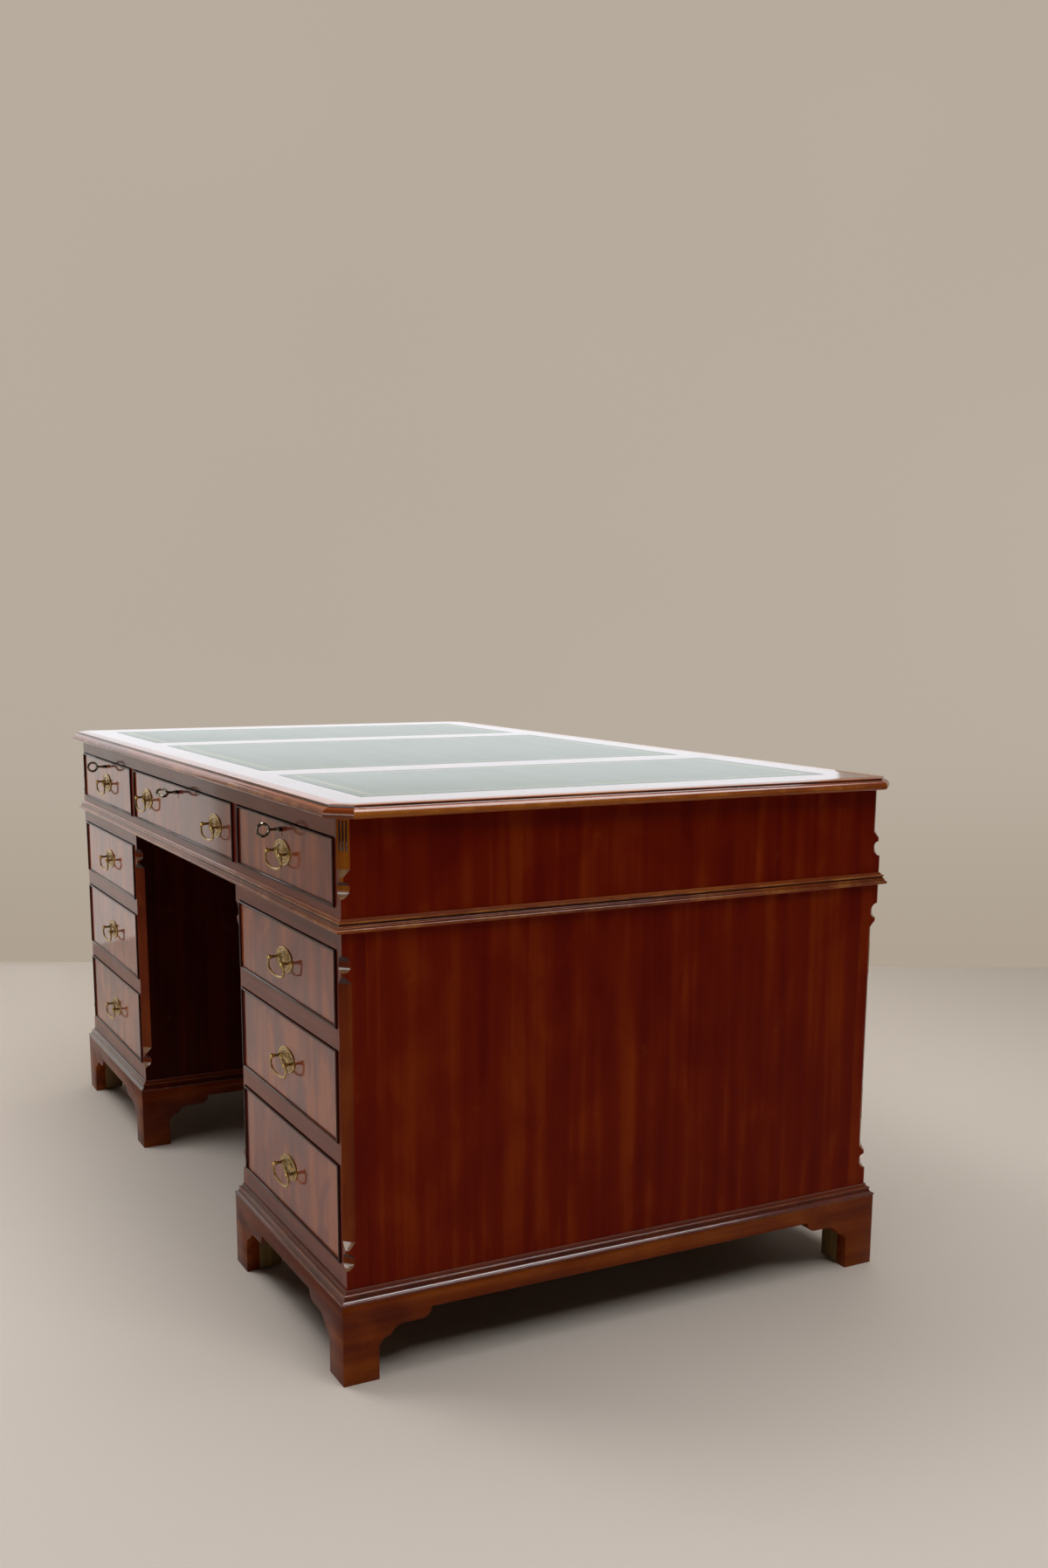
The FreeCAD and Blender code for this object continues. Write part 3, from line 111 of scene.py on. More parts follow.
# ---- Node building ----
class NodeSheet:
    """A node tree that is being wired, with short calls for the nodes that this desk needs."""

    def __init__(self, tree: bpy.types.NodeTree) -> None:
        """Start on an empty tree.

        Args:
            tree: The tree of a material or of a shader group.
        """
        self.tree = tree
        self.tree.nodes.clear()

    def add(self, kind: str, **settings: object) -> Node:
        """Add a node.

        Args:
            kind: The node's type name.
            **settings: Properties of the node.

        Returns:
            The new node.
        """
        node = self.tree.nodes.new(kind)
        for name, value in settings.items():
            setattr(node, name, value)
        return node

    def wire(self, source: object, target: Socket) -> None:
        """Feed a socket.

        Args:
            source: Another socket, or a plain value.
            target: The socket to feed.
        """
        if isinstance(source, Socket):
            self.tree.links.new(source, target)
        else:
            target.default_value = source

    def feed(self, node: Node, **inputs: object) -> None:
        """Feed a node's inputs by name, with _ for a space."""
        for name, value in inputs.items():
            self.wire(value, node.inputs[name.replace("_", " ")])

    def sum_up(self, operation: str, *terms: object, clamp: bool = False) -> Socket:
        """A number worked out from others.

        Args:
            operation: The Math node's operation.
            *terms: Sockets or plain numbers.
            clamp: Whether the result keeps between 0 and 1.

        Returns:
            The result's socket.
        """
        node = self.add("ShaderNodeMath", operation=operation, use_clamp=clamp)
        for term, socket in zip(terms, node.inputs):
            self.wire(term, socket)
        return node.outputs[0]

    def scaled(self, value: object, factor: object, lift: float = 0.0) -> Socket:
        """A value times a factor, with a lift added where there is one."""
        product = self.sum_up("MULTIPLY", value, factor)
        return self.sum_up("ADD", product, lift) if lift else product

    def centred(self, value: object, share: object) -> Socket:
        """A value between 0 and 1 turned into a swing about 0."""
        return self.scaled(self.sum_up("SUBTRACT", value, 0.5), share)

    def stretched(self, place: object, scale: Sequence[float]) -> Socket:
        """A place multiplied axis by axis.

        Args:
            place: The socket with the place.
            scale: The factor for each axis.

        Returns:
            The stretched place's socket.
        """
        node = self.add("ShaderNodeVectorMath", operation="MULTIPLY")
        self.wire(place, node.inputs[0])
        self.wire(tuple(scale), node.inputs[1])
        return node.outputs[0]

    def noise(self, place: object, scale: Sequence[float], detail: float = 3.0,
              roughness: float = 0.55, distortion: float = 0.0) -> Socket:
        """Noise between 0 and 1 that is stretched along the axes of a place.

        Args:
            place: The socket with the place.
            scale: Repeats per metre along each axis.
            detail: Octaves of noise.
            roughness: How much each octave counts.
            distortion: How far the noise bends.

        Returns:
            The noise's value.
        """
        node = self.add("ShaderNodeTexNoise")
        self.feed(node, Vector=self.stretched(place, scale), Scale=1.0, Detail=detail,
                  Roughness=roughness, Distortion=distortion)
        return node.outputs["Fac"]

    def ramp(self, value: object, low: float, high: float) -> Socket:
        """A value stretched so that low becomes 0 and high becomes 1, with soft ends.

        Args:
            value: The value.
            low: What becomes 0.
            high: What becomes 1.

        Returns:
            The stretched value's socket.
        """
        node = self.add("ShaderNodeMapRange", interpolation_type="SMOOTHSTEP")
        self.feed(node, Value=value, From_Min=low, From_Max=high)
        return node.outputs["Result"]

    def blend(self, amount: object, first: object, second: object) -> Socket:
        """Two colours mixed.

        Args:
            amount: How much of the second colour, 0 to 1.
            first: The first colour.
            second: The second colour.

        Returns:
            The mixed colour's socket.
        """
        node = self.add("ShaderNodeMix", data_type="RGBA")
        self.feed(node, Factor=amount, A=first, B=second)
        return node.outputs["Result"]

    def tinted(self, colour: object, mask: object, share: float, tint: Colour) -> Socket:
        """A colour tinted by a share of a mask."""
        return self.blend(self.scaled(mask, share), colour, tint)

    def shades(self, value: object, stops: Sequence[tuple[float, Colour]]) -> Socket:
        """A colour looked up along a row of shades.

        Args:
            value: Where to look, 0 to 1.
            stops: Places and their colours, in order.

        Returns:
            The colour's socket.
        """
        node = self.add("ShaderNodeValToRGB")
        elements = node.color_ramp.elements
        while len(elements) < len(stops):
            elements.new(0.5)
        for element, (place, colour) in zip(elements, stops):
            element.position = place
            element.color = colour
        self.wire(value, node.inputs["Fac"])
        return node.outputs["Color"]

    def stored(self, name: str, output: str = "Fac") -> Socket:
        """An attribute that is kept on the mesh."""
        return self.add("ShaderNodeAttribute", attribute_name=name).outputs[output]

    def bump(self, height: object, strength: float, distance: float) -> Socket:
        """A normal that is disturbed by a height.

        Args:
            height: The height, 0 to 1.
            strength: How much it counts.
            distance: What a height of 1 is, in metres.

        Returns:
            The normal's socket.
        """
        node = self.add("ShaderNodeBump")
        self.feed(node, Strength=strength, Distance=distance, Height=height)
        return node.outputs["Normal"]

    def seen(self, glossy_share: float) -> Socket:
        """How far a ray sees the surface's own tone.

        Args:
            glossy_share: What a ray from a polished surface sees.

        Returns:
            A socket that is 1 to the camera, the share to polished surfaces and else 0.
        """
        path = self.add("ShaderNodeLightPath")
        polished = self.scaled(path.outputs["Is Glossy Ray"], glossy_share)
        return self.sum_up("ADD", path.outputs["Is Camera Ray"], polished, clamp=True)


class ShaderGroup:
    """A shader group that is built once and placed in any material."""

    title = ""
    takes: tuple[tuple[str, str], ...] = ()
    gives: tuple[tuple[str, str], ...] = ()
    _built: dict[str, bpy.types.NodeTree] = {}

    def fill(self, sheet: NodeSheet, source: Node, target: Node) -> None:
        """Wire the inside of the group.

        Args:
            sheet: The group's node sheet.
            source: The group's input node.
            target: The group's output node.
        """
        raise NotImplementedError

    def tree(self) -> bpy.types.NodeTree:
        """The group's node tree, built on first use.

        Returns:
            The tree.
        """
        if self.title not in self._built:
            made = bpy.data.node_groups.new(self.title, "ShaderNodeTree")
            for name, kind in self.takes:
                made.interface.new_socket(name, in_out="INPUT", socket_type=kind)
            for name, kind in self.gives:
                made.interface.new_socket(name, in_out="OUTPUT", socket_type=kind)
            sheet = NodeSheet(made)
            source = sheet.add("NodeGroupInput")
            target = sheet.add("NodeGroupOutput")
            self.fill(sheet, source, target)
            self._built[self.title] = made
        return self._built[self.title]

    def place(self, sheet: NodeSheet, **inputs: object) -> Node:
        """Put the group into a material.

        Args:
            sheet: The material's node sheet.
            **inputs: Values or sockets for the group's inputs, with _ for a space.

        Returns:
            The group node.
        """
        node = sheet.add("ShaderNodeGroup", node_tree=self.tree())
        sheet.feed(node, **inputs)
        return node


NUMBER = "NodeSocketFloat"
PLACE = "NodeSocketVector"


class WoodFigure(ShaderGroup):
    """Ribbons, fibres and pores that run along X of the place, and soft clouds over them."""

    title = "wood_figure"
    takes = (("Place", PLACE), ("Cloudiness", NUMBER))
    gives = (("Tone", NUMBER), ("Pores", NUMBER), ("Fibre", NUMBER))
    ribbon_scale = (1.5, 34.0, 34.0)
    fine_ribbon_scale = (3.0, 120.0, 120.0)
    fibre_scale = (9.0, 620.0, 620.0)
    pore_scale = (70.0, 2100.0, 2100.0)
    cloud_scale = (7.0, 13.0, 13.0)

    def fill(self, sheet: NodeSheet, source: Node, target: Node) -> None:
        """Wire the inside of the group.

        Args:
            sheet: The group's node sheet.
            source: The group's input node.
            target: The group's output node.
        """
        place = source.outputs["Place"]
        ribbon = sheet.noise(place, self.ribbon_scale, 2.0, 0.5, 0.35)
        fine = sheet.noise(place, self.fine_ribbon_scale, 3.0, 0.6, 0.2)
        fibre = sheet.noise(place, self.fibre_scale, 2.0, 0.6)
        cloud = sheet.noise(place, self.cloud_scale, 2.0, 0.5, 0.8)
        pores = sheet.ramp(sheet.noise(place, self.pore_scale, 1.0, 0.5), 0.60, 0.70)
        tone = sheet.sum_up("ADD", sheet.scaled(sheet.ramp(ribbon, 0.28, 0.72), 0.52),
                            sheet.scaled(fine, 0.38))
        tone = sheet.sum_up("ADD", tone, sheet.scaled(fibre, 0.16))
        clouded = sheet.centred(sheet.ramp(cloud, 0.30, 0.72), source.outputs["Cloudiness"])
        tone = sheet.sum_up("ADD", tone, clouded, clamp=True)
        sheet.feed(target, Tone=tone, Pores=pores, Fibre=fibre)


class HandlingAndLight(ShaderGroup):
    """Pale and dark places from a value per corner and a place, and small dents: the pale places
    are worn places and, where the values follow ridges, a painted highlight; the dark ones are
    dirty places and, where the values follow hollows, painted shade.
    """

    title = "handling_and_light"
    takes = (("Place", PLACE), ("Wear", NUMBER), ("Dents", NUMBER))
    gives = (("Rubbed", NUMBER), ("Dirt", NUMBER), ("Marks", NUMBER), ("Haze", NUMBER))
    patch_scale = (24.0,) * 3
    dent_scale = (130.0,) * 3
    haze_scale = (9.0,) * 3

    def fill(self, sheet: NodeSheet, source: Node, target: Node) -> None:
        """Wire the inside of the group.

        Args:
            sheet: The group's node sheet.
            source: The group's input node.
            target: The group's output node.
        """
        place = source.outputs["Place"]
        patches = sheet.noise(place, self.patch_scale, 4.0, 0.6)
        uneven = sheet.sum_up("ADD", source.outputs["Wear"], sheet.centred(patches, 0.8))
        dents = sheet.ramp(sheet.noise(place, self.dent_scale, 1.0, 0.4), 0.70, 0.76)
        sheet.feed(target, Rubbed=sheet.ramp(uneven, 0.45, 0.95),
                   Dirt=sheet.ramp(uneven, 0.20, -0.15),
                   Marks=sheet.scaled(dents, source.outputs["Dents"]),
                   Haze=sheet.noise(place, self.haze_scale, 3.0, 0.6))


# ---- Finishes ----
@dataclass(frozen=True)
class Finish:
    """A surface finish: a material that is made once from the finish's own values."""

    name: str
    _made: ClassVar[dict["Finish", bpy.types.Material]] = {}

    def wire_up(self, sheet: NodeSheet, shader: Node) -> None:
        """Wire the material.

        Args:
            sheet: The material's node sheet.
            shader: The material's surface shader, already joined to the output.
        """
        raise NotImplementedError

    def material(self) -> bpy.types.Material:
        """The finish's material, made on first use.

        Returns:
            The material.
        """
        if self not in self._made:
            made = bpy.data.materials.new(self.name)
            made.use_nodes = True
            sheet = NodeSheet(made.node_tree)
            output = sheet.add("ShaderNodeOutputMaterial")
            shader = sheet.add("ShaderNodeBsdfPrincipled")
            sheet.wire(shader.outputs["BSDF"], output.inputs["Surface"])
            self.wire_up(sheet, shader)
            self._made[self] = made
        return self._made[self]


def board_tone(sheet: NodeSheet, cloudiness: float, wear_and_light: object, dents: float,
               shift: float) -> tuple[Node, Node, Socket]:
    """What the finish of a board starts from.

    Args:
        sheet: The material's node sheet.
        cloudiness: How clouded the wood's figure is.
        wear_and_light: How the board is painted per corner, low for dirty places and painted
            shade, high for worn places and painted highlights.
        dents: How much its dents count.
        shift: How far boards differ in tone.

    Returns:
        The figure's node, the node of pale and dark places with their painted highlight and shade,
        and the board's tone, 0 to 1.
    """
    place = sheet.stored("grain", "Vector")
    figure = WoodFigure().place(sheet, Place=place, Cloudiness=cloudiness)
    handling_and_light = HandlingAndLight().place(sheet, Place=place, Wear=wear_and_light, Dents=dents)
    shade = sheet.centred(sheet.stored("board"), shift)
    return figure, handling_and_light, sheet.sum_up("ADD", figure.outputs["Tone"], shade, clamp=True)


@dataclass(frozen=True)
class PolishedWood(Finish):
    """French-polished mahogany under a clear gloss."""

    dark: Colour
    middle: Colour
    light: Colour
    # Pale colour for worn places and, on mouldings, a painted highlight; dark colour for dirty
    # places and dents and, in the mouldings' grooves, painted shade.
    rubbed_highlight: Colour = paint(196, 112, 36)
    dirt_shade: Colour = paint(30, 6, 2)
    cloudiness: float = 0.25
    dents: float = 0.0
    board_shift: float = 0.16
    haze: float = 0.22
    roughness: float = 0.34
    gloss: float = 1.0
    gloss_roughness: float = 0.07
    coat_ior: float = 1.47
    body_shine: float = 0.25

    def wire_up(self, sheet: NodeSheet, shader: Node) -> None:
        """Wire the material.

        Args:
            sheet: The material's node sheet.
            shader: The material's surface shader.
        """
        figure, handling_and_light, tone = board_tone(sheet, self.cloudiness, sheet.stored("wear_and_light"),
                                            self.dents, self.board_shift)
        colour = sheet.shades(tone, [(0.15, self.dark), (0.52, self.middle), (0.92, self.light)])
        # Tints by pores, pale and dark places and dents; the pale and dark places carry painted
        # highlight and shade where the values follow a shape.
        for node, mask, share, tint in ((figure, "Pores", 0.45, self.dark),
                                        (handling_and_light, "Rubbed", 0.85, self.rubbed_highlight),
                                        (handling_and_light, "Dirt", 0.85, self.dirt_shade),
                                        (handling_and_light, "Marks", 0.6, self.dirt_shade)):
            colour = sheet.tinted(colour, node.outputs[mask], share, tint)
        height = sheet.sum_up("SUBTRACT", sheet.scaled(figure.outputs["Fibre"], 0.4),
                              handling_and_light.outputs["Marks"])
        sheet.feed(shader, Base_Color=colour,
                   Roughness=sheet.scaled(handling_and_light.outputs["Haze"], self.haze, self.roughness),
                   Specular_IOR_Level=self.body_shine, Coat_Weight=self.gloss,
                   Coat_Roughness=self.gloss_roughness, Coat_IOR=self.coat_ior,
                   Normal=sheet.bump(height, 0.25, 0.15 * MM))


@dataclass(frozen=True)
class BareWood(Finish):
    """Plain wood without polish, as inside a drawer or under the plinth."""

    dark: Colour = paint(112, 72, 36)
    light: Colour = paint(172, 126, 74)
    smudge: Colour = paint(84, 54, 28)

    def wire_up(self, sheet: NodeSheet, shader: Node) -> None:
        """Wire the material.

        Args:
            sheet: The material's node sheet.
            shader: The material's surface shader.
        """
        figure, handling_and_light, tone = board_tone(sheet, 0.2, 0.35, 0.4, 0.35)
        colour = sheet.shades(tone, [(0.2, self.dark), (0.85, self.light)])
        colour = sheet.tinted(colour, figure.outputs["Pores"], 0.6, self.dark)
        colour = sheet.tinted(colour, handling_and_light.outputs["Haze"], 0.5, self.smudge)
        fibre = figure.outputs["Fibre"]
        sheet.feed(shader, Base_Color=colour, Roughness=sheet.scaled(fibre, 0.2, 0.5),
                   Normal=sheet.bump(fibre, 0.4, 0.2 * MM))


@dataclass(frozen=True)
class TooledHide(Finish):
    """Waxed green hide with a gilt line tooled inside its edge."""

    name: str = "green_hide"
    dark: Colour = paint(96, 110, 101)
    light: Colour = paint(132, 147, 138)
    edge: Colour = paint(38, 50, 40)
    gilt: Colour = paint(206, 196, 150)
    line_inset: float = 21.0 * MM
    line_gap: float = 4.2 * MM
    line_half: float = 0.9 * MM
    edge_width: float = 5.0 * MM
    pebbles: float = 950.0
    mottle_scale: tuple[float, float, float] = (5.0, 9.0, 5.0)
    wiped_scale: tuple[float, float, float] = (2.5, 22.0, 5.0)
    gilt_scale: float = 60.0

    def line(self, sheet: NodeSheet, inset: object, centre: float,
             half_width: float) -> Socket:
        """A soft line at a distance from the panel's edge."""
        away = sheet.sum_up("ABSOLUTE", sheet.sum_up("SUBTRACT", inset, centre))
        return sheet.ramp(away, half_width * 1.5, half_width * 0.6)

    def wire_up(self, sheet: NodeSheet, shader: Node) -> None:
        """Wire the material.

        Args:
            sheet: The material's node sheet.
            shader: The material's surface shader.
        """
        place = sheet.stored("grain", "Vector")
        flat = sheet.add("ShaderNodeVectorMath", operation="ABSOLUTE")
        sheet.wire(place, flat.inputs[0])
        room = sheet.add("ShaderNodeVectorMath", operation="SUBTRACT")
        sheet.wire(sheet.stored("half", "Vector"), room.inputs[0])
        sheet.wire(flat.outputs[0], room.inputs[1])
        split = sheet.add("ShaderNodeSeparateXYZ")
        sheet.wire(room.outputs[0], split.inputs[0])
        inset = sheet.sum_up("MINIMUM", split.outputs["X"], split.outputs["Y"])

        pebble = sheet.add("ShaderNodeTexVoronoi", feature="DISTANCE_TO_EDGE")
        sheet.feed(pebble, Vector=place, Scale=self.pebbles)
        cells = sheet.ramp(pebble.outputs["Distance"], 0.0, 0.18)
        mottle = sheet.noise(place, self.mottle_scale, 4.0, 0.6, 0.6)
        wiped = sheet.noise(place, self.wiped_scale, 3.0, 0.6)
        tone = sheet.sum_up("ADD", sheet.scaled(mottle, 0.7), sheet.scaled(wiped, 0.3))
        colour = sheet.shades(tone, [(0.32, self.dark), (0.68, self.light)])
        colour = sheet.tinted(colour, sheet.sum_up("SUBTRACT", 1.0, cells), 0.35, self.dark)
        colour = sheet.blend(sheet.ramp(inset, self.edge_width, 0.1 * self.edge_width), colour,
                             self.edge)
        worn = sheet.ramp(sheet.noise(place, (self.gilt_scale,) * 3, 3.0, 0.7), 0.30, 0.50)
        lines = sheet.sum_up(
            "MAXIMUM", self.line(sheet, inset, self.line_inset, self.line_half),
            self.line(sheet, inset, self.line_inset + self.line_gap, self.line_half / 2))
        gilt = sheet.sum_up("MULTIPLY", lines, worn)
        height = sheet.sum_up("SUBTRACT", sheet.scaled(cells, 0.25), gilt)
        sheet.feed(shader, Base_Color=sheet.tinted(colour, gilt, 0.9, self.gilt),
                   Roughness=sheet.scaled(mottle, 0.2, 0.24), Coat_Weight=0.2,
                   Coat_Roughness=0.22, Normal=sheet.bump(height, 0.35, 0.25 * MM))


@dataclass(frozen=True)
class AgedMetal(Finish):
    """Metal that is dark in its hollows, with patina and painted shade, and bright where it is
    handled and on its ridges, with worn places and a painted highlight.
    """

    bright: Colour
    dull: Colour
    hollow: Colour
    bright_roughness: float = 0.2
    dull_roughness: float = 0.36
    tarnish_scale: float = 260.0
    grain_scale: float = 900.0

    def wire_up(self, sheet: NodeSheet, shader: Node) -> None:
        """Wire the material.

        Args:
            sheet: The material's node sheet.
            shader: The material's surface shader.
        """
        place = sheet.stored("grain", "Vector")
        handling_and_light = HandlingAndLight().place(sheet, Place=sheet.stretched(place, (6.0,) * 3),
                                    Wear=sheet.stored("wear_and_light"), Dents=0.0)
        tarnish = sheet.ramp(sheet.noise(place, (self.tarnish_scale,) * 3, 4.0, 0.65), 0.35, 0.68)
        colour = sheet.blend(tarnish, self.bright, self.dull)
        colour = sheet.blend(handling_and_light.outputs["Rubbed"], colour, self.bright)
        colour = sheet.tinted(colour, handling_and_light.outputs["Dirt"], 0.9, self.hollow)
        span = self.dull_roughness - self.bright_roughness
        grain = sheet.noise(place, (self.grain_scale,) * 3, 2.0, 0.6)
        sheet.feed(shader, Base_Color=colour, Metallic=1.0,
                   Roughness=sheet.scaled(tarnish, span, self.bright_roughness),
                   Normal=sheet.bump(grain, 0.12, 0.05 * MM))


@dataclass(frozen=True)
class PlainFloor(Finish):
    """A smooth pale floor."""

    name: str = "studio_floor"
    low: Colour = paint(222, 212, 200)
    high: Colour = paint(228, 218, 208)
    scale: float = 0.6
    roughness: float = 0.45
    speck_scale: float = 240.0

    def wire_up(self, sheet: NodeSheet, shader: Node) -> None:
        """Wire the material.

        Args:
            sheet: The material's node sheet.
            shader: The material's surface shader.
        """
        place = sheet.add("ShaderNodeTexCoord").outputs["Object"]
        cloud = sheet.noise(place, (self.scale,) * 3, 3.0, 0.5)
        speck = sheet.noise(place, (self.speck_scale,) * 3, 2.0, 0.5)
        sheet.feed(shader, Base_Color=sheet.shades(cloud, [(0.3, self.low), (0.7, self.high)]),
                   Roughness=sheet.scaled(speck, 0.05, self.roughness), Specular_IOR_Level=0.03)


@dataclass(frozen=True)
class PlainWall(Finish):
    """A plain wall that glows with its own tone to the eye and, at a share of it, in polished
    surfaces, with painted shade that darkens it towards its foot.

    It is open from behind, so that it hides nothing of the desk.
    """

    name: str = "studio_wall"
    # Tone at the wall's foot: painted shade, darker towards the floor.
    foot: Colour = paint(174, 161, 145)
    low: Colour = paint(181, 170, 155)
    high: Colour = paint(185, 174, 160)
    scale: float = 0.4
    foot_shade_height: float = 0.7
    glossy_share: float = 0.7

    def wire_up(self, sheet: NodeSheet, shader: Node) -> None:
        """Wire the material.

        Args:
            sheet: The material's node sheet.
            shader: The material's surface shader.
        """
        place = sheet.add("ShaderNodeTexCoord").outputs["Object"]
        cloud = sheet.noise(place, (self.scale,) * 3, 3.0, 0.5)
        tone = sheet.shades(cloud, [(0.3, self.low), (0.7, self.high)])
        split = sheet.add("ShaderNodeSeparateXYZ")
        sheet.wire(place, split.inputs[0])
        tone = sheet.blend(sheet.ramp(split.outputs["Z"], self.foot_shade_height, 0.0), tone, self.foot)
        seen = sheet.seen(self.glossy_share)
        behind = sheet.add("ShaderNodeNewGeometry").outputs["Backfacing"]
        sheet.feed(shader, Base_Color=sheet.blend(seen, tone, paint(0, 0, 0)),
                   Emission_Color=tone, Emission_Strength=seen,
                   Alpha=sheet.sum_up("SUBTRACT", 1.0, behind), Specular_IOR_Level=0.0,
                   Roughness=1.0)


VENEER = PolishedWood("mahogany_veneer_upright", paint(102, 15, 1), paint(117, 26, 1),
                      paint(140, 50, 3), cloudiness=0.3, gloss=0.06, gloss_roughness=0.2,
                      coat_ior=1.3, body_shine=0.05)
# The same veneer painted darker: painted shade for the faces inside the kneehole.
PAINTED_SHADE_VENEER = PolishedWood("mahogany_veneer_painted_shade", paint(44, 7, 1), paint(56, 11, 1),
                      paint(72, 18, 2), gloss=0.06, gloss_roughness=0.2, coat_ior=1.3,
                      body_shine=0.05)
FRONT_VENEER = PolishedWood("mahogany_veneer_front", paint(118, 26, 3), paint(142, 44, 6),
                            paint(176, 78, 18), cloudiness=0.8, dents=0.12, coat_ior=1.38,
                            body_shine=0.15)
RAIL = PolishedWood("mahogany_solid", paint(92, 24, 3), paint(124, 38, 6), paint(144, 58, 10),
                    cloudiness=0.1, dents=0.35, gloss=0.6, coat_ior=1.36, body_shine=0.1)
DEEP = PolishedWood("mahogany_deep", paint(62, 14, 3), paint(94, 27, 5), paint(122, 46, 10),
                    paint(160, 84, 30), cloudiness=0.1, dents=0.25, coat_ior=1.5,
                    gloss_roughness=0.09, body_shine=0.1)
MOULDED = PolishedWood("mahogany_moulded", paint(96, 30, 2), paint(140, 60, 5),
                       paint(176, 98, 20), paint(210, 140, 56), cloudiness=0.1, dents=0.25,
                       gloss=0.8, coat_ior=1.42, body_shine=0.05)
# Dark mahogany for the cock beads, used also as painted shade in the flutes, under the stops'
# hollows and inside the key slots.
BEAD_AND_PAINTED_SHADE = PolishedWood("mahogany_bead_and_painted_shade", paint(40, 9, 2), paint(62, 16, 4), paint(84, 28, 7),
                      paint(130, 66, 26), cloudiness=0.1, dents=0.25, gloss=0.6, coat_ior=1.4,
                      body_shine=0.1)
CANTED = PolishedWood("mahogany_canted", paint(132, 62, 2), paint(172, 92, 4),
                      paint(204, 128, 18), paint(214, 146, 40), cloudiness=0.1, dents=0.3,
                      gloss=0.25, coat_ior=1.3, body_shine=0.05)
LOW_CANTED = PolishedWood("mahogany_canted_low", paint(102, 32, 2), paint(130, 48, 3),
                          paint(156, 76, 8), paint(190, 116, 36), cloudiness=0.3, dents=0.3,
                          gloss=0.25, coat_ior=1.3, body_shine=0.05)
# Pale mahogany for the upward faces of the carved stops: a painted highlight.
PAINTED_HIGHLIGHT_FACETS = PolishedWood("mahogany_painted_highlight_facets", paint(96, 56, 26), paint(142, 98, 60),
                      paint(188, 150, 112), paint(214, 180, 140), cloudiness=0.1, dents=0.3,
                      coat_ior=1.55, gloss_roughness=0.16)
PLINTH = PolishedWood("mahogany_plinth", paint(92, 28, 1), paint(124, 50, 3),
                      paint(148, 72, 10), cloudiness=0.35, dents=0.35, gloss=0.3,
                      coat_ior=1.38, body_shine=0.04)
TOP_VENEER = PolishedWood("mahogany_top", paint(62, 11, 3), paint(92, 24, 6),
                          paint(118, 44, 14), cloudiness=0.1, gloss_roughness=0.12,
                          coat_ior=1.42)
LINING = BareWood("drawer_lining")
CARCASE = BareWood("carcass_lining", dark=paint(64, 34, 18), light=paint(112, 66, 36),
                   smudge=paint(50, 28, 16))
FOOT_INSIDE = BareWood("foot_inside", dark=paint(96, 70, 22), light=paint(150, 116, 46))
HIDE = TooledHide()
BRASS = AgedMetal("antique_brass", paint(212, 180, 114), paint(112, 90, 52), paint(28, 20, 9))
STEEL = AgedMetal("dark_steel", paint(168, 164, 146), paint(70, 64, 54), paint(18, 16, 13))
IRON = AgedMetal("bolt_steel", paint(150, 144, 136), paint(98, 92, 86), paint(40, 36, 32))

FacePick = Callable[[Vector, Vector], Finish]


# ---- Meshes ----
class Grain(Enum):
    """Which way the grain of a board runs: along an axis, or along its longest side."""

    ALONG_X = 0
    ALONG_Y = 1
    UPRIGHT = 2
    LONGEST = 3


@dataclass
class Solid:
    """One closed body as corners and faces."""

    spots: list[Vector]
    faces: list[tuple[int, ...]]

    def low(self) -> Vector:
        """The lowest corner of the body's box."""
        return Vector([min(spot[axis] for spot in self.spots) for axis in range(3)])

    def high(self) -> Vector:
        """The highest corner of the body's box."""
        return Vector([max(spot[axis] for spot in self.spots) for axis in range(3)])

    def size(self) -> Vector:
        """The size of the body's box."""
        return self.high() - self.low()

    def centre(self) -> Vector:
        """The middle of the body's box."""
        return (self.high() + self.low()) / 2

    def moved(self, matrix: Matrix) -> "Solid":
        """The body at another place."""
        return Solid([matrix @ spot for spot in self.spots], list(self.faces))

    def opened(self) -> bmesh.types.BMesh:
        """The body as a mesh to work on.

        Returns:
            The mesh, which closed_up turns into a body again.
        """
        work = bmesh.new()
        corners = [work.verts.new(spot) for spot in self.spots]
        for face in self.faces:
            work.faces.new([corners[corner] for corner in face])
        return work


WornAndLit = tuple[Solid, list[float]]


def closed_up(work: bmesh.types.BMesh) -> Solid:
    """Turn a worked mesh into a body and free it.

    Args:
        work: The mesh.

    Returns:
        The body.
    """
    work.verts.index_update()
    made = Solid([vertex.co.copy() for vertex in work.verts],
                 [tuple(vertex.index for vertex in face.verts) for face in work.faces])
    work.free()
    return made


def solids_of(node: str) -> list[Solid]:
    """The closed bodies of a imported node, in their stored order.

    Args:
        node: The node's name.

    Returns:
        One Solid per body. A body is complete as soon as its surface is closed.
    """
    mesh = frame["nodes"][node].data
    known: dict[tuple[int, int, int], int] = {}
    spots: list[Vector] = []
    index: list[int] = []
    for vertex in mesh.vertices:
        key = tuple(round(value * MERGE_RATE) for value in vertex.co)
        if key not in known:
            known[key] = len(spots)
            spots.append(vertex.co.copy())
        index.append(known[key])
    solids: list[Solid] = []
    faces: list[tuple[int, ...]] = []
    edges: set[tuple[int, int]] = set()
    for polygon in mesh.polygons:
        corners = tuple(index[corner] for corner in polygon.vertices)
        faces.append(corners)
        for pair in zip(corners, corners[1:] + corners[:1]):
            if pair[::-1] in edges:
                edges.remove(pair[::-1])
            else:
                edges.add(pair)
        if not edges:
            used = sorted({corner for face in faces for corner in face})
            place = {corner: order for order, corner in enumerate(used)}
            solids.append(Solid([spots[corner] for corner in used],
                                [tuple(place[corner] for corner in face) for face in faces]))
            faces = []
    return solids


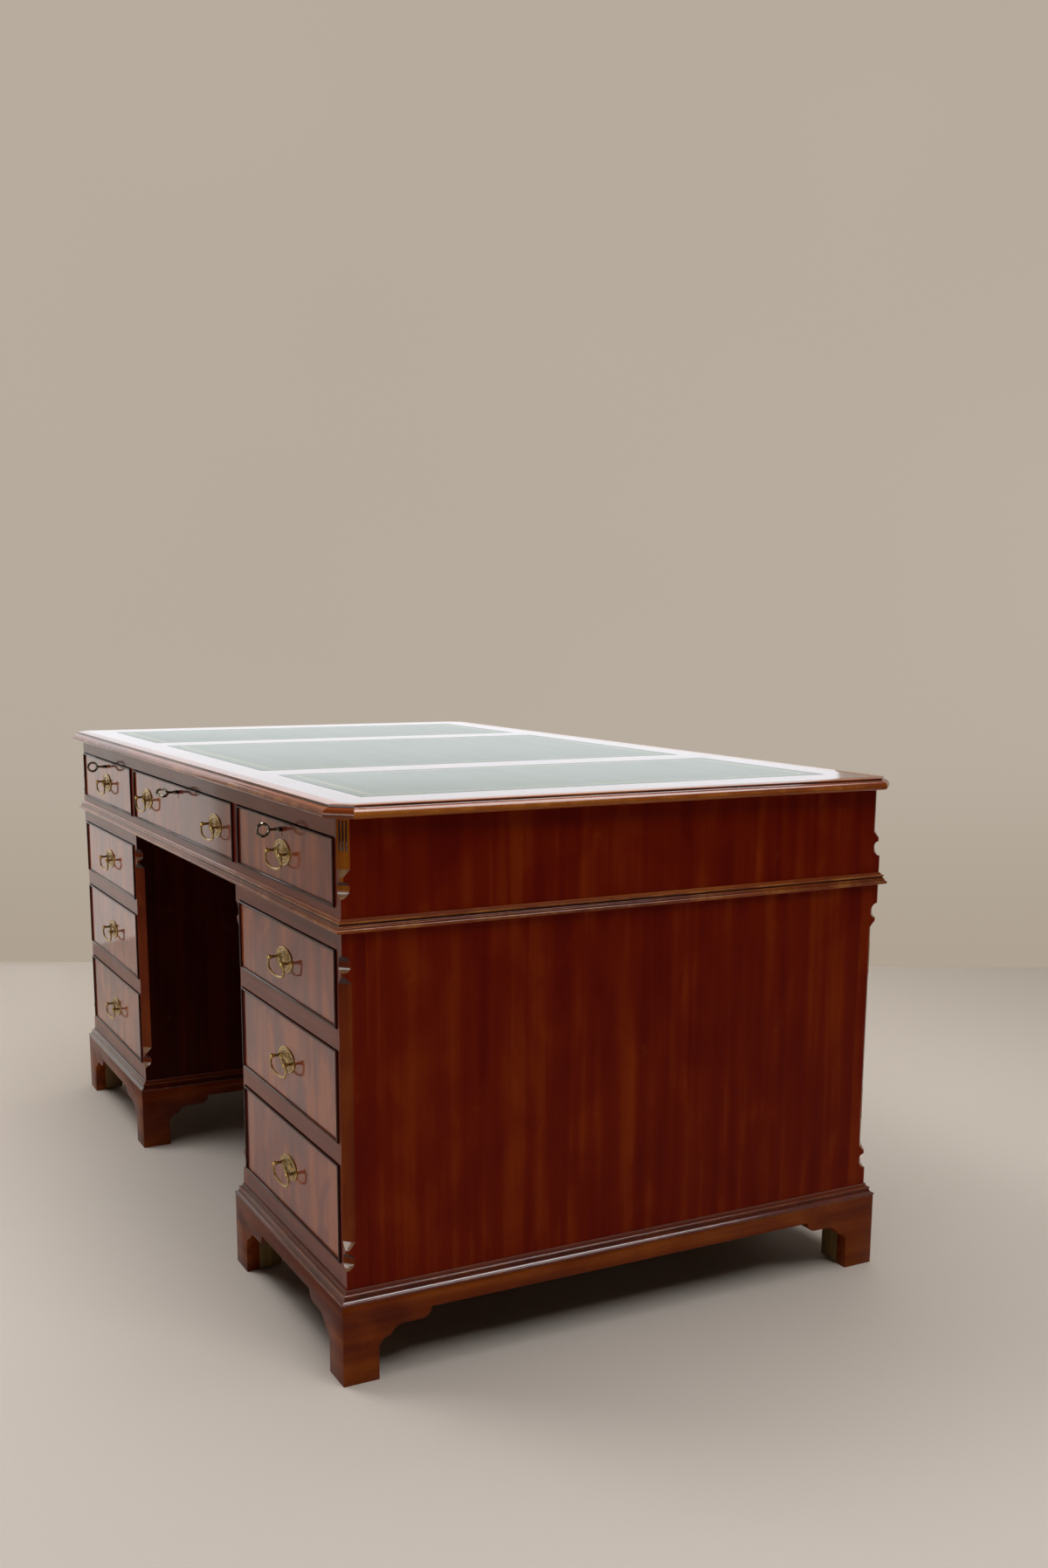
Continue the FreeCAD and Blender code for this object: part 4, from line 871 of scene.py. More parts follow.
def eased(solid: Solid, width: float, steps: int = 2) -> Solid:
    """A body with its flat faces made whole and its sharp arrises eased.

    Args:
        solid: The body.
        width: The width of the easing, in metres. Nothing is eased at 0.
        steps: Facets across the easing.

    Returns:
        The eased body.
    """
    work = solid.opened()
    bmesh.ops.dissolve_limit(work, angle_limit=FLAT_ANGLE, verts=work.verts, edges=work.edges)
    if width > 0:
        sharp = [edge for edge in work.edges
                 if edge.is_manifold and edge.calc_face_angle(0.0) > ARRIS_ANGLE]
        bmesh.ops.bevel(work, geom=sharp, offset=width, segments=steps, profile=0.5,
                        affect="EDGES", clamp_overlap=True)
    return closed_up(work)


class Draft:
    """A piece in the making: closed bodies with the values that their finish reads.

    Each corner keeps its place in its own board (grain), a value that tells the board from
    others (board) and a value that is low for dirty places and painted shade and high for worn
    places and painted highlights (wear, 0.35 where it is neither).
    """

    plain_wear = 0.35

    def __init__(self, name: str) -> None:
        """Start an empty piece.

        Args:
            name: The piece's name.
        """
        self.name = name
        self.spots: list[Vector] = []
        self.faces: list[tuple[int, ...]] = []
        self.slots: list[int] = []
        self.grain: list[Vector] = []
        self.board: list[float] = []
        self.wear_and_light: list[float] = []
        self.half: list[Vector] = []
        self.finishes: list[Finish] = []
        self.chance = random.Random(name)

    def slot_of(self, finish: Finish) -> int:
        """The material slot of a finish, which is added where it is new.

        Args:
            finish: The finish.

        Returns:
            The slot's number.
        """
        if finish not in self.finishes:
            self.finishes.append(finish)
        return self.finishes.index(finish)

    def add(self, solid: Solid, finish: Finish, grain: Grain = Grain.LONGEST,
            wear_and_light: Optional[Sequence[float]] = None,
            choose: Optional[FacePick] = None,
            places: Optional[Sequence[Vector]] = None) -> None:
        """Add a body.

        Args:
            solid: The body.
            finish: Its finish.
            grain: Which way its grain runs.
            wear_and_light: A value per corner, low for dirty places and painted shade, high for
                worn places and painted highlights.
            choose: Picks a finish from a face's normal and middle, where faces differ.
            places: The place of each corner in its board, where it isn't plain X, Y and Z.
        """
        start = len(self.spots)
        size = solid.size()
        along = (max(range(3), key=lambda axis: size[axis]) if grain is Grain.LONGEST
                 else grain.value)
        order = [along, *[axis for axis in range(3) if axis != along]]
        drift = Vector([self.chance.uniform(0.0, 9.0) for _ in range(3)])
        shade = self.chance.random()
        centre = solid.centre()
        self.spots += solid.spots
        if places is None:
            places = [Vector([(spot - centre)[axis] for axis in order]) for spot in solid.spots]
        self.grain += [place + drift for place in places]
        self.board += [shade] * len(solid.spots)
        self.wear_and_light += wear_and_light or [self.plain_wear] * len(solid.spots)
        for face in solid.faces:
            chosen = finish
            if choose is not None:
                ring = [solid.spots[corner] for corner in face]
                chosen = choose(ring_normal(ring), sum(ring, Vector()) / len(ring))
            self.slots.append(self.slot_of(chosen))
            self.faces.append(tuple(corner + start for corner in face))

    def add_strips(self, ring: Sequence[Vector], section: Section, finish: Finish) -> None:
        """Add mitred strips around a ring.

        Args:
            ring: The ring at the strips' inner foot, counter-clockwise seen from above.
            section: The strips' section, with a value per corner that is low for dirty places and
                painted shade and high for worn places and painted highlights.
            finish: Their finish.
        """
        outline, wear_and_light = section
        for strip in mitred_strips(ring, outline):
            self.add(strip, finish, wear_and_light=wear_and_light * 2, places=along_strip(strip))

    def build(self, body: str, slot: str, *nodes: str) -> None:
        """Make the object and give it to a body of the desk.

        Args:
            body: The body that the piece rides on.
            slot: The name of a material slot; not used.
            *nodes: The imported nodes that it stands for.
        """
        mesh = bpy.data.meshes.new(self.name)
        mesh.from_pydata(self.spots, [], self.faces)
        for finish in self.finishes:
            mesh.materials.append(finish.material())
        mesh.polygons.foreach_set("material_index", self.slots)
        mesh.polygons.foreach_set("use_smooth", [True] * len(self.faces))
        for name, kind, values in (("grain", "FLOAT_VECTOR", self.grain),
                                   ("board", "FLOAT", self.board), ("wear_and_light", "FLOAT", self.wear_and_light),
                                   ("half", "FLOAT_VECTOR", self.half)):
            if values:
                stored = mesh.attributes.new(name, kind, "POINT")
                flat = [part for value in values for part in value] if "VECTOR" in kind else values
                stored.data.foreach_set("vector" if "VECTOR" in kind else "value", flat)
        crease(mesh)
        thing = linked(self.name, mesh)
        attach(thing, body)
        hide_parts(*nodes)


def linked(name: str, data: bpy.types.ID) -> bpy.types.Object:
    """Make an object and put it into the scene.

    Args:
        name: The object's name.
        data: Its mesh, camera or lamp.

    Returns:
        The object.
    """
    thing = bpy.data.objects.new(name, data)
    bpy.context.scene.collection.objects.link(thing)
    return thing


def ring_normal(ring: Sequence[Vector]) -> Vector:
    """The normal of a flat ring of corners.

    Args:
        ring: The corners in order.

    Returns:
        The normal.
    """
    total = Vector()
    for first, second in zip(ring, [*ring[1:], ring[0]]):
        total += first.cross(second)
    return total.normalized()


def crease(mesh: bpy.types.Mesh) -> None:
    """Mark the edges of a mesh that turn by more than the crease angle as sharp.

    Args:
        mesh: The mesh.
    """
    work = bmesh.new()
    work.from_mesh(mesh)
    for edge in work.edges:
        edge.smooth = edge.is_manifold and edge.calc_face_angle(0.0) < CREASE_ANGLE
    work.to_mesh(mesh)
    work.free()
    mesh.update()


def arc(centre: Spot, radius: float, start: float, end: float, steps: int = 8) -> list[Spot]:
    """Points along an arc, both ends included.

    Args:
        centre: The arc's centre.
        radius: Its radius.
        start: The angle that it starts at, in degrees.
        end: The angle that it ends at, in degrees.
        steps: How many straight pieces it has.

    Returns:
        The points in order.
    """
    angles = [math.radians(start + (end - start) * step / steps) for step in range(steps + 1)]
    return [(centre[0] + radius * math.cos(angle), centre[1] + radius * math.sin(angle))
            for angle in angles]


def bulge(first: Spot, last: Spot, radius: float, side: int, steps: int = 6) -> list[Spot]:
    """Points along an arc between two places, without the first one.

    Args:
        first: Where the arc starts.
        last: Where it ends.
        radius: Its radius.
        side: +1 where it turns left, -1 where it turns right.
        steps: How many straight pieces it has.

    Returns:
        The points after the first one.
    """
    run = Vector(last) - Vector(first)
    rise = math.sqrt(max(radius ** 2 - run.length_squared / 4, 0.0)) * side / run.length
    centre = (Vector(first) + Vector(last)) / 2 + Vector((-run.y, run.x)) * rise
    start = Vector(first) - centre
    end = Vector(last) - centre
    turn = math.atan2(start.x * end.y - start.y * end.x, start.dot(end))
    points = []
    for step in range(1, steps + 1):
        angle = turn * step / steps
        offset = Matrix.Rotation(angle, 2) @ start
        points.append(tuple(centre + offset))
    return points


def lofted(rings: Sequence[Sequence[Vector]]) -> Solid:
    """A body through rings that have as many corners each, closed at both ends.

    Args:
        rings: The rings from the foot up, counter-clockwise seen from above.

    Returns:
        The body.
    """
    sides, end = len(rings[0]), len(rings[0]) * (len(rings) - 1)
    faces = [(base + side, base + (side + 1) % sides, base + (side + 1) % sides + sides,
              base + side + sides) for base in range(0, end, sides) for side in range(sides)]
    faces += [tuple(range(sides))[::-1], tuple(range(end, end + sides))]
    return Solid([spot for ring in rings for spot in ring], faces)


def oval(half_width: float, half_height: float, level: float, sides: int) -> list[Vector]:
    """An oval ring of corners.

    Args:
        half_width: How far it reaches along X.
        half_height: How far it reaches along Y.
        level: Its height along Z.
        sides: How many corners it has.

    Returns:
        The corners, counter-clockwise seen from above.
    """
    return [Vector((half_width * math.cos(math.tau * side / sides),
                    half_height * math.sin(math.tau * side / sides), level))
            for side in range(sides)]


def revolved(outline: Sequence[Spot], sides: int) -> Solid:
    """A turned body about the Z axis, from (radius, height) points, closed at both ends."""
    return lofted([oval(radius, radius, height, sides) for radius, height in outline])


def lathed(rows: Sequence[tuple[float, float, float]], sides: int) -> WornAndLit:
    """A turned body about the Z axis, with a value per row for dirty places and painted shade
    (low) and worn places and painted highlights (high).

    Args:
        rows: (radius, height, wear) from the foot up, in millimetres.
        sides: Corners around the body.

    Returns:
        The body, and a value per corner: low for dirty places and painted shade, high for worn
            places and painted highlights.
    """
    body = revolved([(radius * MM, height * MM) for radius, height, _ in rows], sides)
    return body, [worn for *_, worn in rows for _side in range(sides)]


def tube(path: Sequence[Vector], radii: Sequence[float], upright: Vector, sides: int,
         closed: bool = False) -> Solid:
    """A round bar along a flat path.

    Args:
        path: The middle of the bar.
        radii: Its radius at each place of the path.
        upright: A direction square to the path all along.
        sides: Corners around the bar.
        closed: Whether the path joins up.

    Returns:
        The bar.
    """
    count = len(path)
    spots, faces = [], []
    for index, (place, radius) in enumerate(zip(path, radii)):
        before = path[index - 1] if index or closed else place
        after = path[(index + 1) % count] if index < count - 1 or closed else place
        across = (after - before).normalized().cross(upright)
        for side in range(sides):
            angle = math.tau * side / sides
            spots.append(place + radius * (math.cos(angle) * across + math.sin(angle) * upright))
    for row in range(count if closed else count - 1):
        base, top = row * sides, (row + 1) % count * sides
        for side in range(sides):
            after = (side + 1) % sides
            faces.append((base + side, top + side, top + after, base + after))
    if not closed:
        faces.append(tuple(range(sides)))
        faces.append(tuple(range((count - 1) * sides, count * sides))[::-1])
    return Solid(spots, faces)


def mitred_strips(corners: Sequence[Vector], section: Sequence[Spot]) -> list[Solid]:
    """Straight strips of one section around a ring of corners, mitred where they meet.

    Args:
        corners: The ring at the strips' inner foot, counter-clockwise seen from above.
        section: Corners of the section as (out, up), counter-clockwise for a strip that runs
            along the ring.

    Returns:
        One closed body per side of the ring.
    """
    count = len(corners)
    outward = []
    for index, corner in enumerate(corners):
        run = (corners[(index + 1) % count] - corner).normalized()
        outward.append(Vector((run.y, -run.x, 0.0)))
    strips = []
    for index in range(count):
        spots = []
        for end in (index, (index + 1) % count):
            other = (end - 1) % count
            bisector = outward[end] + outward[other]
            bisector = bisector * (2.0 / bisector.length_squared)
            spots += [corners[end] + bisector * out + Vector((0.0, 0.0, up))
                      for out, up in section]
        turns = len(section)
        faces = [(step + turns, (step + 1) % turns + turns, (step + 1) % turns, step)
                 for step in range(turns)]
        faces.append(tuple(range(turns)))
        faces.append(tuple(range(turns, 2 * turns))[::-1])
        strips.append(outward_facing(Solid(spots, faces)))
    return strips


def outward_facing(solid: Solid) -> Solid:
    """The same body with every face turned outwards.

    Args:
        solid: The body.

    Returns:
        The turned body.
    """
    work = solid.opened()
    bmesh.ops.recalc_face_normals(work, faces=work.faces)
    return closed_up(work)


def with_wear_and_light(rows: Sequence[tuple[Spot, float]], unit: float = 1.0) -> Section:
    """A section's corners in metres, from rows in the given unit, with a value for each that is
    low for dirty places and painted shade and high for worn places and painted highlights.
    """
    return [(out * unit, up * unit) for (out, up), _ in rows], [worn for _, worn in rows]


def rectangle(low: Vector, high: Vector, level: float) -> list[Vector]:
    """The corners of a flat rectangle, counter-clockwise seen from above."""
    return [Vector((low.x, low.y, level)), Vector((high.x, low.y, level)),
            Vector((high.x, high.y, level)), Vector((low.x, high.y, level))]


def box_solid(low: Vector, high: Vector) -> Solid:
    """A rectangular block.

    Args:
        low: Its lowest corner.
        high: Its highest corner.

    Returns:
        The block.
    """
    spots = [Vector((x, y, z)) for z in (low.z, high.z) for y in (low.y, high.y)
             for x in (low.x, high.x)]
    faces = [(0, 2, 3, 1), (4, 5, 7, 6), (0, 1, 5, 4), (2, 6, 7, 3), (0, 4, 6, 2), (1, 3, 7, 5)]
    return Solid(spots, faces)


# ---- Desk: top ----
@dataclass
class Top:
    """The veneered board, its moulded lipping and the three hide panels."""

    cant: float = 30.0 * MM
    lipping: float = 30.0 * MM
    setback: float = 12.5 * MM
    slope: float = 3.3 * MM
    quirk_out: float = 3.5 * MM
    quirk_step: float = 0.9 * MM
    ovolo: float = 9.5 * MM
    nose_height: float = 4.6 * MM
    nose_radius: float = 4.8 * MM
    undercut: float = 3.0 * MM
    hide_ease: float = 0.5 * MM
    bevel_foot: float = 0.6 * MM

    def section(self, height: float) -> Section:
        """The section of the lipping and how each of its corners is painted: the nose, the ovolo
        and the top's arris pale, worn and with a painted highlight, and the quirk dark, dirty and
        with painted shade.

        Args:
            height: The thickness of the top.

        Returns:
            The corners as (out, up), and for each a value that is low for dirty places and painted
            shade and high for worn places and painted highlights.
        """
        width = self.lipping
        start = (width - self.undercut, 0.0)
        nose = (width, self.nose_height)
        crest = (width - self.setback + self.quirk_out + self.quirk_step,
                 height - self.slope - self.quirk_step)
        foot = (width - self.setback + self.quirk_out, height - self.slope)
        rows: list[tuple[Spot, float]] = [((0.0, 0.0), 0.35), (start, 0.25)]
        under = bulge(start, nose, self.nose_radius, 1, 5)
        rows += [(spot, 0.3 + 0.06 * step) for step, spot in enumerate(under)]
        over = bulge(nose, crest, self.ovolo, 1, 9)
        rows += [(spot, 0.62 - 0.05 * step) for step, spot in enumerate(over)]
        rows += [(foot, -0.3),
                 ((width - self.setback + self.slope, height - self.bevel_foot), 0.3),
                 ((width - self.setback, height), 0.6), ((0.0, height), 0.35)]
        return with_wear_and_light(rows)

    def ring(self, low: Vector, high: Vector) -> list[Vector]:
        """The canted ring at the inner foot of the lipping.

        Args:
            low: The lowest corner of the lipping's box.
            high: Its highest corner.

        Returns:
            The ring's corners, counter-clockwise seen from above.
        """
        inset = self.lipping
        cant = self.cant - inset * (2.0 - math.sqrt(2.0))
        x0, y0, x1, y1 = low.x + inset, low.y + inset, high.x - inset, high.y - inset
        spots = [(x0 + cant, y0), (x1 - cant, y0), (x1, y0 + cant), (x1, y1 - cant),
                 (x1 - cant, y1), (x0 + cant, y1), (x0, y1 - cant), (x0, y0 + cant)]
        return [Vector((x, y, low.z)) for x, y in spots]

    def hide_panel(self, draft: Draft, solid: Solid) -> None:
        """Add a hide panel with a soft turned-down edge.

        Args:
            draft: The piece that it belongs to.
            solid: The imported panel.
        """
        low, high, centre = solid.low(), solid.high(), solid.centre()
        ease = self.hide_ease
        panel = lofted([rectangle(low + Vector((inset, inset, 0.0)),
                                  high - Vector((inset, inset, 0.0)), level)
                        for inset, level in (
                            (0.0, low.z), (0.0, high.z - 1.6 * ease),
                            (0.25 * ease, high.z - 0.7 * ease), (ease, high.z - 0.15 * ease),
                            (2.2 * ease, high.z))])
        places = [spot - centre for spot in panel.spots]
        start = len(draft.spots)
        draft.add(panel, HIDE, places=places)
        draft.grain[start:] = places
        draft.half += [(high - low) / 2] * len(places)

    def build(self) -> None:
        """Make the top's pieces."""
        board = Draft("top_veneer")
        for solid in solids_of("top_board"):
            board.add(eased(solid, 0.0), TOP_VENEER, Grain.ALONG_X)
        board.build("desk", "mahogany_veneer", "top_board")
        low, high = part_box("top_lipping")
        edge = Draft("top_edge")
        edge.add_strips(self.ring(low, high), self.section(high.z - low.z), MOULDED)
        edge.build("desk", "mahogany_veneer", "top_lipping")
        hide = Draft("hide_panels")
        for solid in solids_of("leather_panels"):
            self.hide_panel(hide, solid)
        hide.build("desk", "green_leather", "leather_panels")


def along_strip(strip: Solid) -> list[Vector]:
    """The place of each corner of a straight strip in the strip itself.

    Args:
        strip: The strip, with the corners of one end before those of the other.

    Returns:
        The places, with X along the strip.
    """
    run = strip.spots[len(strip.spots) // 2] - strip.spots[0]
    run.z = 0.0
    run.normalize()
    across = Vector((-run.y, run.x, 0.0))
    return [Vector((spot.dot(run), spot.dot(across), spot.z)) for spot in strip.spots]


# ---- Desk: carcass ----
@dataclass
class Mouldings:
    """The waist moulding around the frieze and the moulding on top of the plinths."""

    def waist_section(self) -> Section:
        """The waist moulding from the foot up: nose, reeded band, bead and fillet.

        Returns:
            Its corners as (out, up), and for each a value that is low for dirty places and painted
            shade and high for worn places and painted highlights: a painted highlight on the nose
            and beads, painted shade in the grooves.
        """
        rows = [((0.0, 0.0), 0.2), ((6.7, 0.0), 0.3)]
        rows += [(spot, 0.55) for spot in arc((6.7, 2.6), 2.6, -80.0, 80.0, 8)]
        rows += [((6.9, 5.25), -0.3), ((6.8, 5.6), -0.3)]
        rows += [(spot, 0.5) for spot in arc((5.9, 6.5), 0.95, -40.0, 70.0, 5)]
        rows += [((5.6, 7.5), -0.25)]
        rows += [(spot, 0.5) for spot in arc((4.9, 8.3), 0.95, -40.0, 70.0, 5)]
        rows += [((4.5, 9.3), -0.35), ((4.3, 11.4), -0.2)]
        rows += [(spot, 0.62) for spot in arc((4.3, 12.8), 1.35, -85.0, 85.0, 7)]
        rows += [((3.8, 14.2), -0.35), ((3.0, 14.4), 0.2), ((1.1, 17.3), 0.5), ((0.0, 17.5), 0.3)]
        return with_wear_and_light(rows, MM)

    def plinth_section(self) -> Section:
        """The plinth moulding from the foot up: nose, cove, bead and fillets.

        Returns:
            Its corners as (out, up), and for each a value that is low for dirty places and painted
            shade and high for worn places and painted highlights: a painted highlight on the nose
            and bead, painted shade in the quirks.
        """
        rows = [((0.0, 0.0), 0.2), ((10.6, 0.0), 0.3)]
        rows += [(spot, 0.55) for spot in arc((9.7, 2.2), 1.9, -60.0, 90.0, 7)]
        rows += [((9.0, 4.5), -0.2)]
        rows += [(spot, 0.15) for spot in bulge((9.0, 4.5), (5.9, 9.4), 6.2, -1, 7)]
        rows += [((5.0, 9.6), -0.35)]
        rows += [(spot, 0.65) for spot in arc((4.9, 11.4), 1.75, -85.0, 85.0, 8)]
        rows += [((4.0, 13.2), -0.35), ((3.5, 13.4), 0.25), ((1.9, 16.0), 0.4), ((1.9, 18.0), 0.5),
                 ((1.5, 18.2), 0.5), ((0.0, 18.2), 0.3)]
        return with_wear_and_light(rows, MM)

    def build(self) -> None:
        """Make both mouldings as mitred strips."""
        draft = Draft("desk_mouldings")
        low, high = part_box("frieze_panels")
        rail_low, rail_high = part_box("frieze_rails")
        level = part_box("pedestal_panels")[0].z
        inner = pedestal_inner()
        draft.add_strips(rectangle(Vector((low.x, rail_low.y, 0.0)),
                                   Vector((high.x, rail_high.y, 0.0)), low.z),
                         self.waist_section(), MOULDED)
        for start, end in ((-high.x, -inner), (inner, high.x)):
            draft.add_strips(rectangle(Vector((start, rail_low.y, 0.0)),
                                       Vector((end, rail_high.y, 0.0)), level),
                             self.plinth_section(), DEEP)
        draft.build("desk", "mahogany_veneer", "carcass_mouldings")


def pedestal_inner() -> float:
    """How far the kneehole sides of the pedestals stand from the middle of the desk."""
    return min(abs(spot.x) for solid in solids_of("pedestal_panels") for spot in solid.spots)


@dataclass(frozen=True)
class CarvedStop:
    """The carved end of a canted corner: a bump, a deep hollow, a short land and a slope."""

    bump: float = 2.5 * MM
    notch: float = 22.0 * MM
    notch_depth: float = 7.2 * MM
    land: float = 5.5 * MM
    slope: float = 9.7 * MM

    def outline(self, depth: float, steps: int = 12) -> list[Spot]:
        """The stop's points from the square end onto the cant.

        Args:
            depth: How far the cant lies behind the corner.
            steps: Straight pieces in the hollow.

        Returns:
            (outward, along) points. The corner is at 0 outward, the square's edge at 0 along.
        """
        spots = [(self.bump, 0.0)]
        for step in range(steps + 1):
            angle = math.pi * step / steps
            share = (1.0 - math.cos(angle)) / 2
            spots.append((-self.bump * share - self.notch_depth * math.sin(angle),
                          self.notch * share))
        spots += [(-self.bump, self.notch + self.land),
                  (-depth, self.notch + self.land + self.slope)]
        return spots


@dataclass
class Carcass:
    """The boards, rails and posts that stand still."""

    arris: float = 0.5 * MM
    kneehole: float = 400.0 * MM
    pedestal_middle: float = 500.0 * MM
    thick: float = 30.0 * MM
    thin: float = 20.0 * MM
    low_board: float = 100.0 * MM
    cant_depth: float = 9.2 * MM
    cant_reach: float = 16.0 * MM
    overrun: float = 5.0 * MM
    stop: CarvedStop = CarvedStop()
    lower_square: float = 44.5 * MM
    upper_square: float = 29.5 * MM
    frieze_square: float = 42.5 * MM
    flute_count: int = 3
    flute_radius: float = 1.3 * MM
    flute_pitch: float = 4.4 * MM
    flute_foot: float = 706.0 * MM
    flute_head: float = 746.0 * MM
    flute_sides: int = 12
    flute_rise: float = 0.25

    def boards(self) -> None:
        """The panels, rails and runners."""
        plan = (("frieze_panels", VENEER, Grain.UPRIGHT),
                ("pedestal_panels", VENEER, Grain.UPRIGHT),
                ("frieze_rails", RAIL, Grain.ALONG_X), ("pedestal_rails", RAIL, Grain.ALONG_X),
                ("drawer_runners", CARCASE, Grain.ALONG_Y))
        for node, finish, grain in plan:
            draft = Draft(node + "_dressed")
            for solid in solids_of(node):
                chosen = finish
                if node.endswith("panels") and not self.faces_out(solid):
                    chosen = CARCASE
                # Pedestal sides that face the kneehole take the darker veneer as painted shade.
                elif node == "pedestal_panels" and abs(solid.centre().x) < self.kneehole:
                    chosen = PAINTED_SHADE_VENEER
                draft.add(eased(solid, self.arris if chosen is CARCASE else 0.0), chosen, grain,
                          choose=None if chosen is CARCASE else self.inner_faces(chosen, solid))
            draft.build("desk", "mahogany_veneer", node)

    def faces_out(self, solid: Solid) -> bool:
        """Whether a board is one of the upright panels that show from outside.

        Args:
            solid: The board.

        Returns:
            True where it shows.
        """
        size = solid.size()
        return size.x < size.z < size.y or size.x < self.thick and size.z < self.low_board

    def inner_faces(self, finish: Finish, solid: Solid) -> FacePick:
        """Leave the faces that look into the carcass unpolished.

        Args:
            finish: The finish of the other faces.
            solid: The panel or rail.

        Returns:
            A function that picks the finish of a face.
        """
        middle = solid.centre().x
        side = 1.0 if middle > 0 else -1.0
        inward = -side if abs(middle) > self.pedestal_middle else side

        def choose(normal: Vector, _middle: Vector) -> Finish:
            """Pick the finish of one face."""
            hidden = normal.x * inward > SQUARE_ON and solid.size().x < self.thin
            return CARCASE if hidden else finish
        return choose

    def posts(self) -> None:
        """The corner posts with their worn cants, and flutes on the frieze posts."""
        draft = Draft("carved_posts")
        for solid in solids_of("corner_posts"):
            draft.add(eased(self.canted(solid), self.arris * 0.8, 1), RAIL, Grain.UPRIGHT,
                      choose=self.faces_of(solid))
        draft.build("desk", "mahogany_veneer", "corner_posts")

    def faces_of(self, post: Solid) -> FacePick:
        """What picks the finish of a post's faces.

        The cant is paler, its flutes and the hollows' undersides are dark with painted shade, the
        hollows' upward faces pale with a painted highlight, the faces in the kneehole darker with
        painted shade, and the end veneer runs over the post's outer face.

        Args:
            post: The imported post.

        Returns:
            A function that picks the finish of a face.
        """
        corner, outward = self.corner_of(post)
        frieze = post.high().z > self.flute_foot

        def choose(normal: Vector, middle: Vector) -> Finish:
            """Pick the finish of one face.

            Args:
                normal: The face's normal.
                middle: The face's middle.

            Returns:
                Its finish.
            """
            depth = (corner - middle).dot(outward) - self.cant_depth
            # Flutes take the dark bead finish: painted shade in the grooves.
            if (self.flute_foot < middle.z < self.flute_head
                    and 0.15 * self.flute_radius < depth < self.flute_radius):
                return BEAD_AND_PAINTED_SHADE
            # Faces square to X: those inside the kneehole take the veneer with painted shade.
            if abs(normal.x) > SQUARE_ON:
                return PAINTED_SHADE_VENEER if abs(middle.x) < self.kneehole else VENEER
            if abs(normal.y) > SQUARE_ON:
                return RAIL
            # Slanting faces of the stops: the upward ones painted pale as a highlight, the
            # downward ones dark as painted shade.
            if abs(normal.z) > SLANTING:
                return PAINTED_HIGHLIGHT_FACETS if normal.z > 0 else BEAD_AND_PAINTED_SHADE
            return CANTED if frieze else LOW_CANTED
        return choose

    def corner_of(self, post: Solid) -> tuple[Vector, Vector]:
        """Where a post's cant is.

        Args:
            post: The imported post.

        Returns:
            The place on the floor below the post's outward corner, and the way that its cant
            faces.
        """
        low, high, centre = post.low(), post.high(), post.centre()
        door_low, door_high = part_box("right_cupboard_door")
        outer = 1.0 if abs(centre.x) > (door_low.x + door_high.x) / 2 else -1.0
        outward = Vector((math.copysign(1.0, centre.x) * outer, math.copysign(1.0, centre.y),
                          0.0)).normalized()
        return Vector((high.x if outward.x > 0 else low.x, high.y if outward.y > 0 else low.y,
                       0.0)), outward

    def canted(self, post: Solid) -> Solid:
        """A post with its outward corner taken off between carved stops.

        Args:
            post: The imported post, which gives the block that it is cut from.

        Returns:
            The carved post, with flutes where it belongs to the frieze.
        """
        low, high = post.low(), post.high()
        corner, outward = self.corner_of(post)
        frieze = high.z > self.flute_foot
        foot = low.z + (self.frieze_square if frieze else self.lower_square)
        outline = [(x, foot + y) for x, y in self.stop.outline(self.cant_depth)]
        if frieze:
            outline += [(depth, high.z + self.overrun)
                        for depth in (-self.cant_depth, self.stop.bump)]
        else:
            head = high.z - self.upper_square
            outline += [(x, head - y) for x, y in reversed(self.stop.outline(self.cant_depth))]
        turn = Matrix((outward, UP, outward.cross(UP))).transposed().to_4x4()
        waste = prism(outline, self.cant_reach).moved(Matrix.Translation(corner) @ turn)
        made = carved(box_solid(low, high), [waste])
        return carved(made, self.flutes(corner, outward)) if frieze else made

    def flutes(self, corner: Vector, outward: Vector) -> list[Solid]:
        """The round-ended cutters of a frieze post's flutes.

        Args:
            corner: The place on the floor below the post's corner before it was canted.
            outward: The way that the cant faces.

        Returns:
            One cutter per flute.
        """
        radius, low, high = self.flute_radius, self.flute_foot, self.flute_head
        outline = [(0.2 * radius, low), (0.7 * radius, low + 0.3 * radius),
                   (radius, low + radius), (radius, high - radius),
                   (0.7 * radius, high - 0.3 * radius), (0.2 * radius, high)]
        across = Vector((-outward.y, outward.x, 0.0))
        cutters = []
        for index in range(self.flute_count):
            offset = (index - (self.flute_count - 1) / 2) * self.flute_pitch
            depth = self.cant_depth - self.flute_rise * radius
            place = corner - outward * depth + across * offset
            cutter = revolved(outline, self.flute_sides)
            cutters.append(cutter.moved(Matrix.Translation(place)))
        return cutters

    def build(self) -> None:
        """Make the carcass."""
        self.boards()
        self.posts()


def prism(outline: Sequence[Spot], reach: float) -> Solid:
    """A straight body with the given outline in XY, as far below Z = 0 as above it.

    Args:
        outline: The outline's points in order.
        reach: Half the body's thickness.

    Returns:
        The body.
    """
    count = len(outline)
    spots = [Vector((x, y, level)) for level in (-reach, reach) for x, y in outline]
    faces = [tuple(range(count)), tuple(range(2 * count - 1, count - 1, -1))]
    faces += [(side, side + count, (side + 1) % count + count, (side + 1) % count)
              for side in range(count)]
    return outward_facing(Solid(spots, faces))


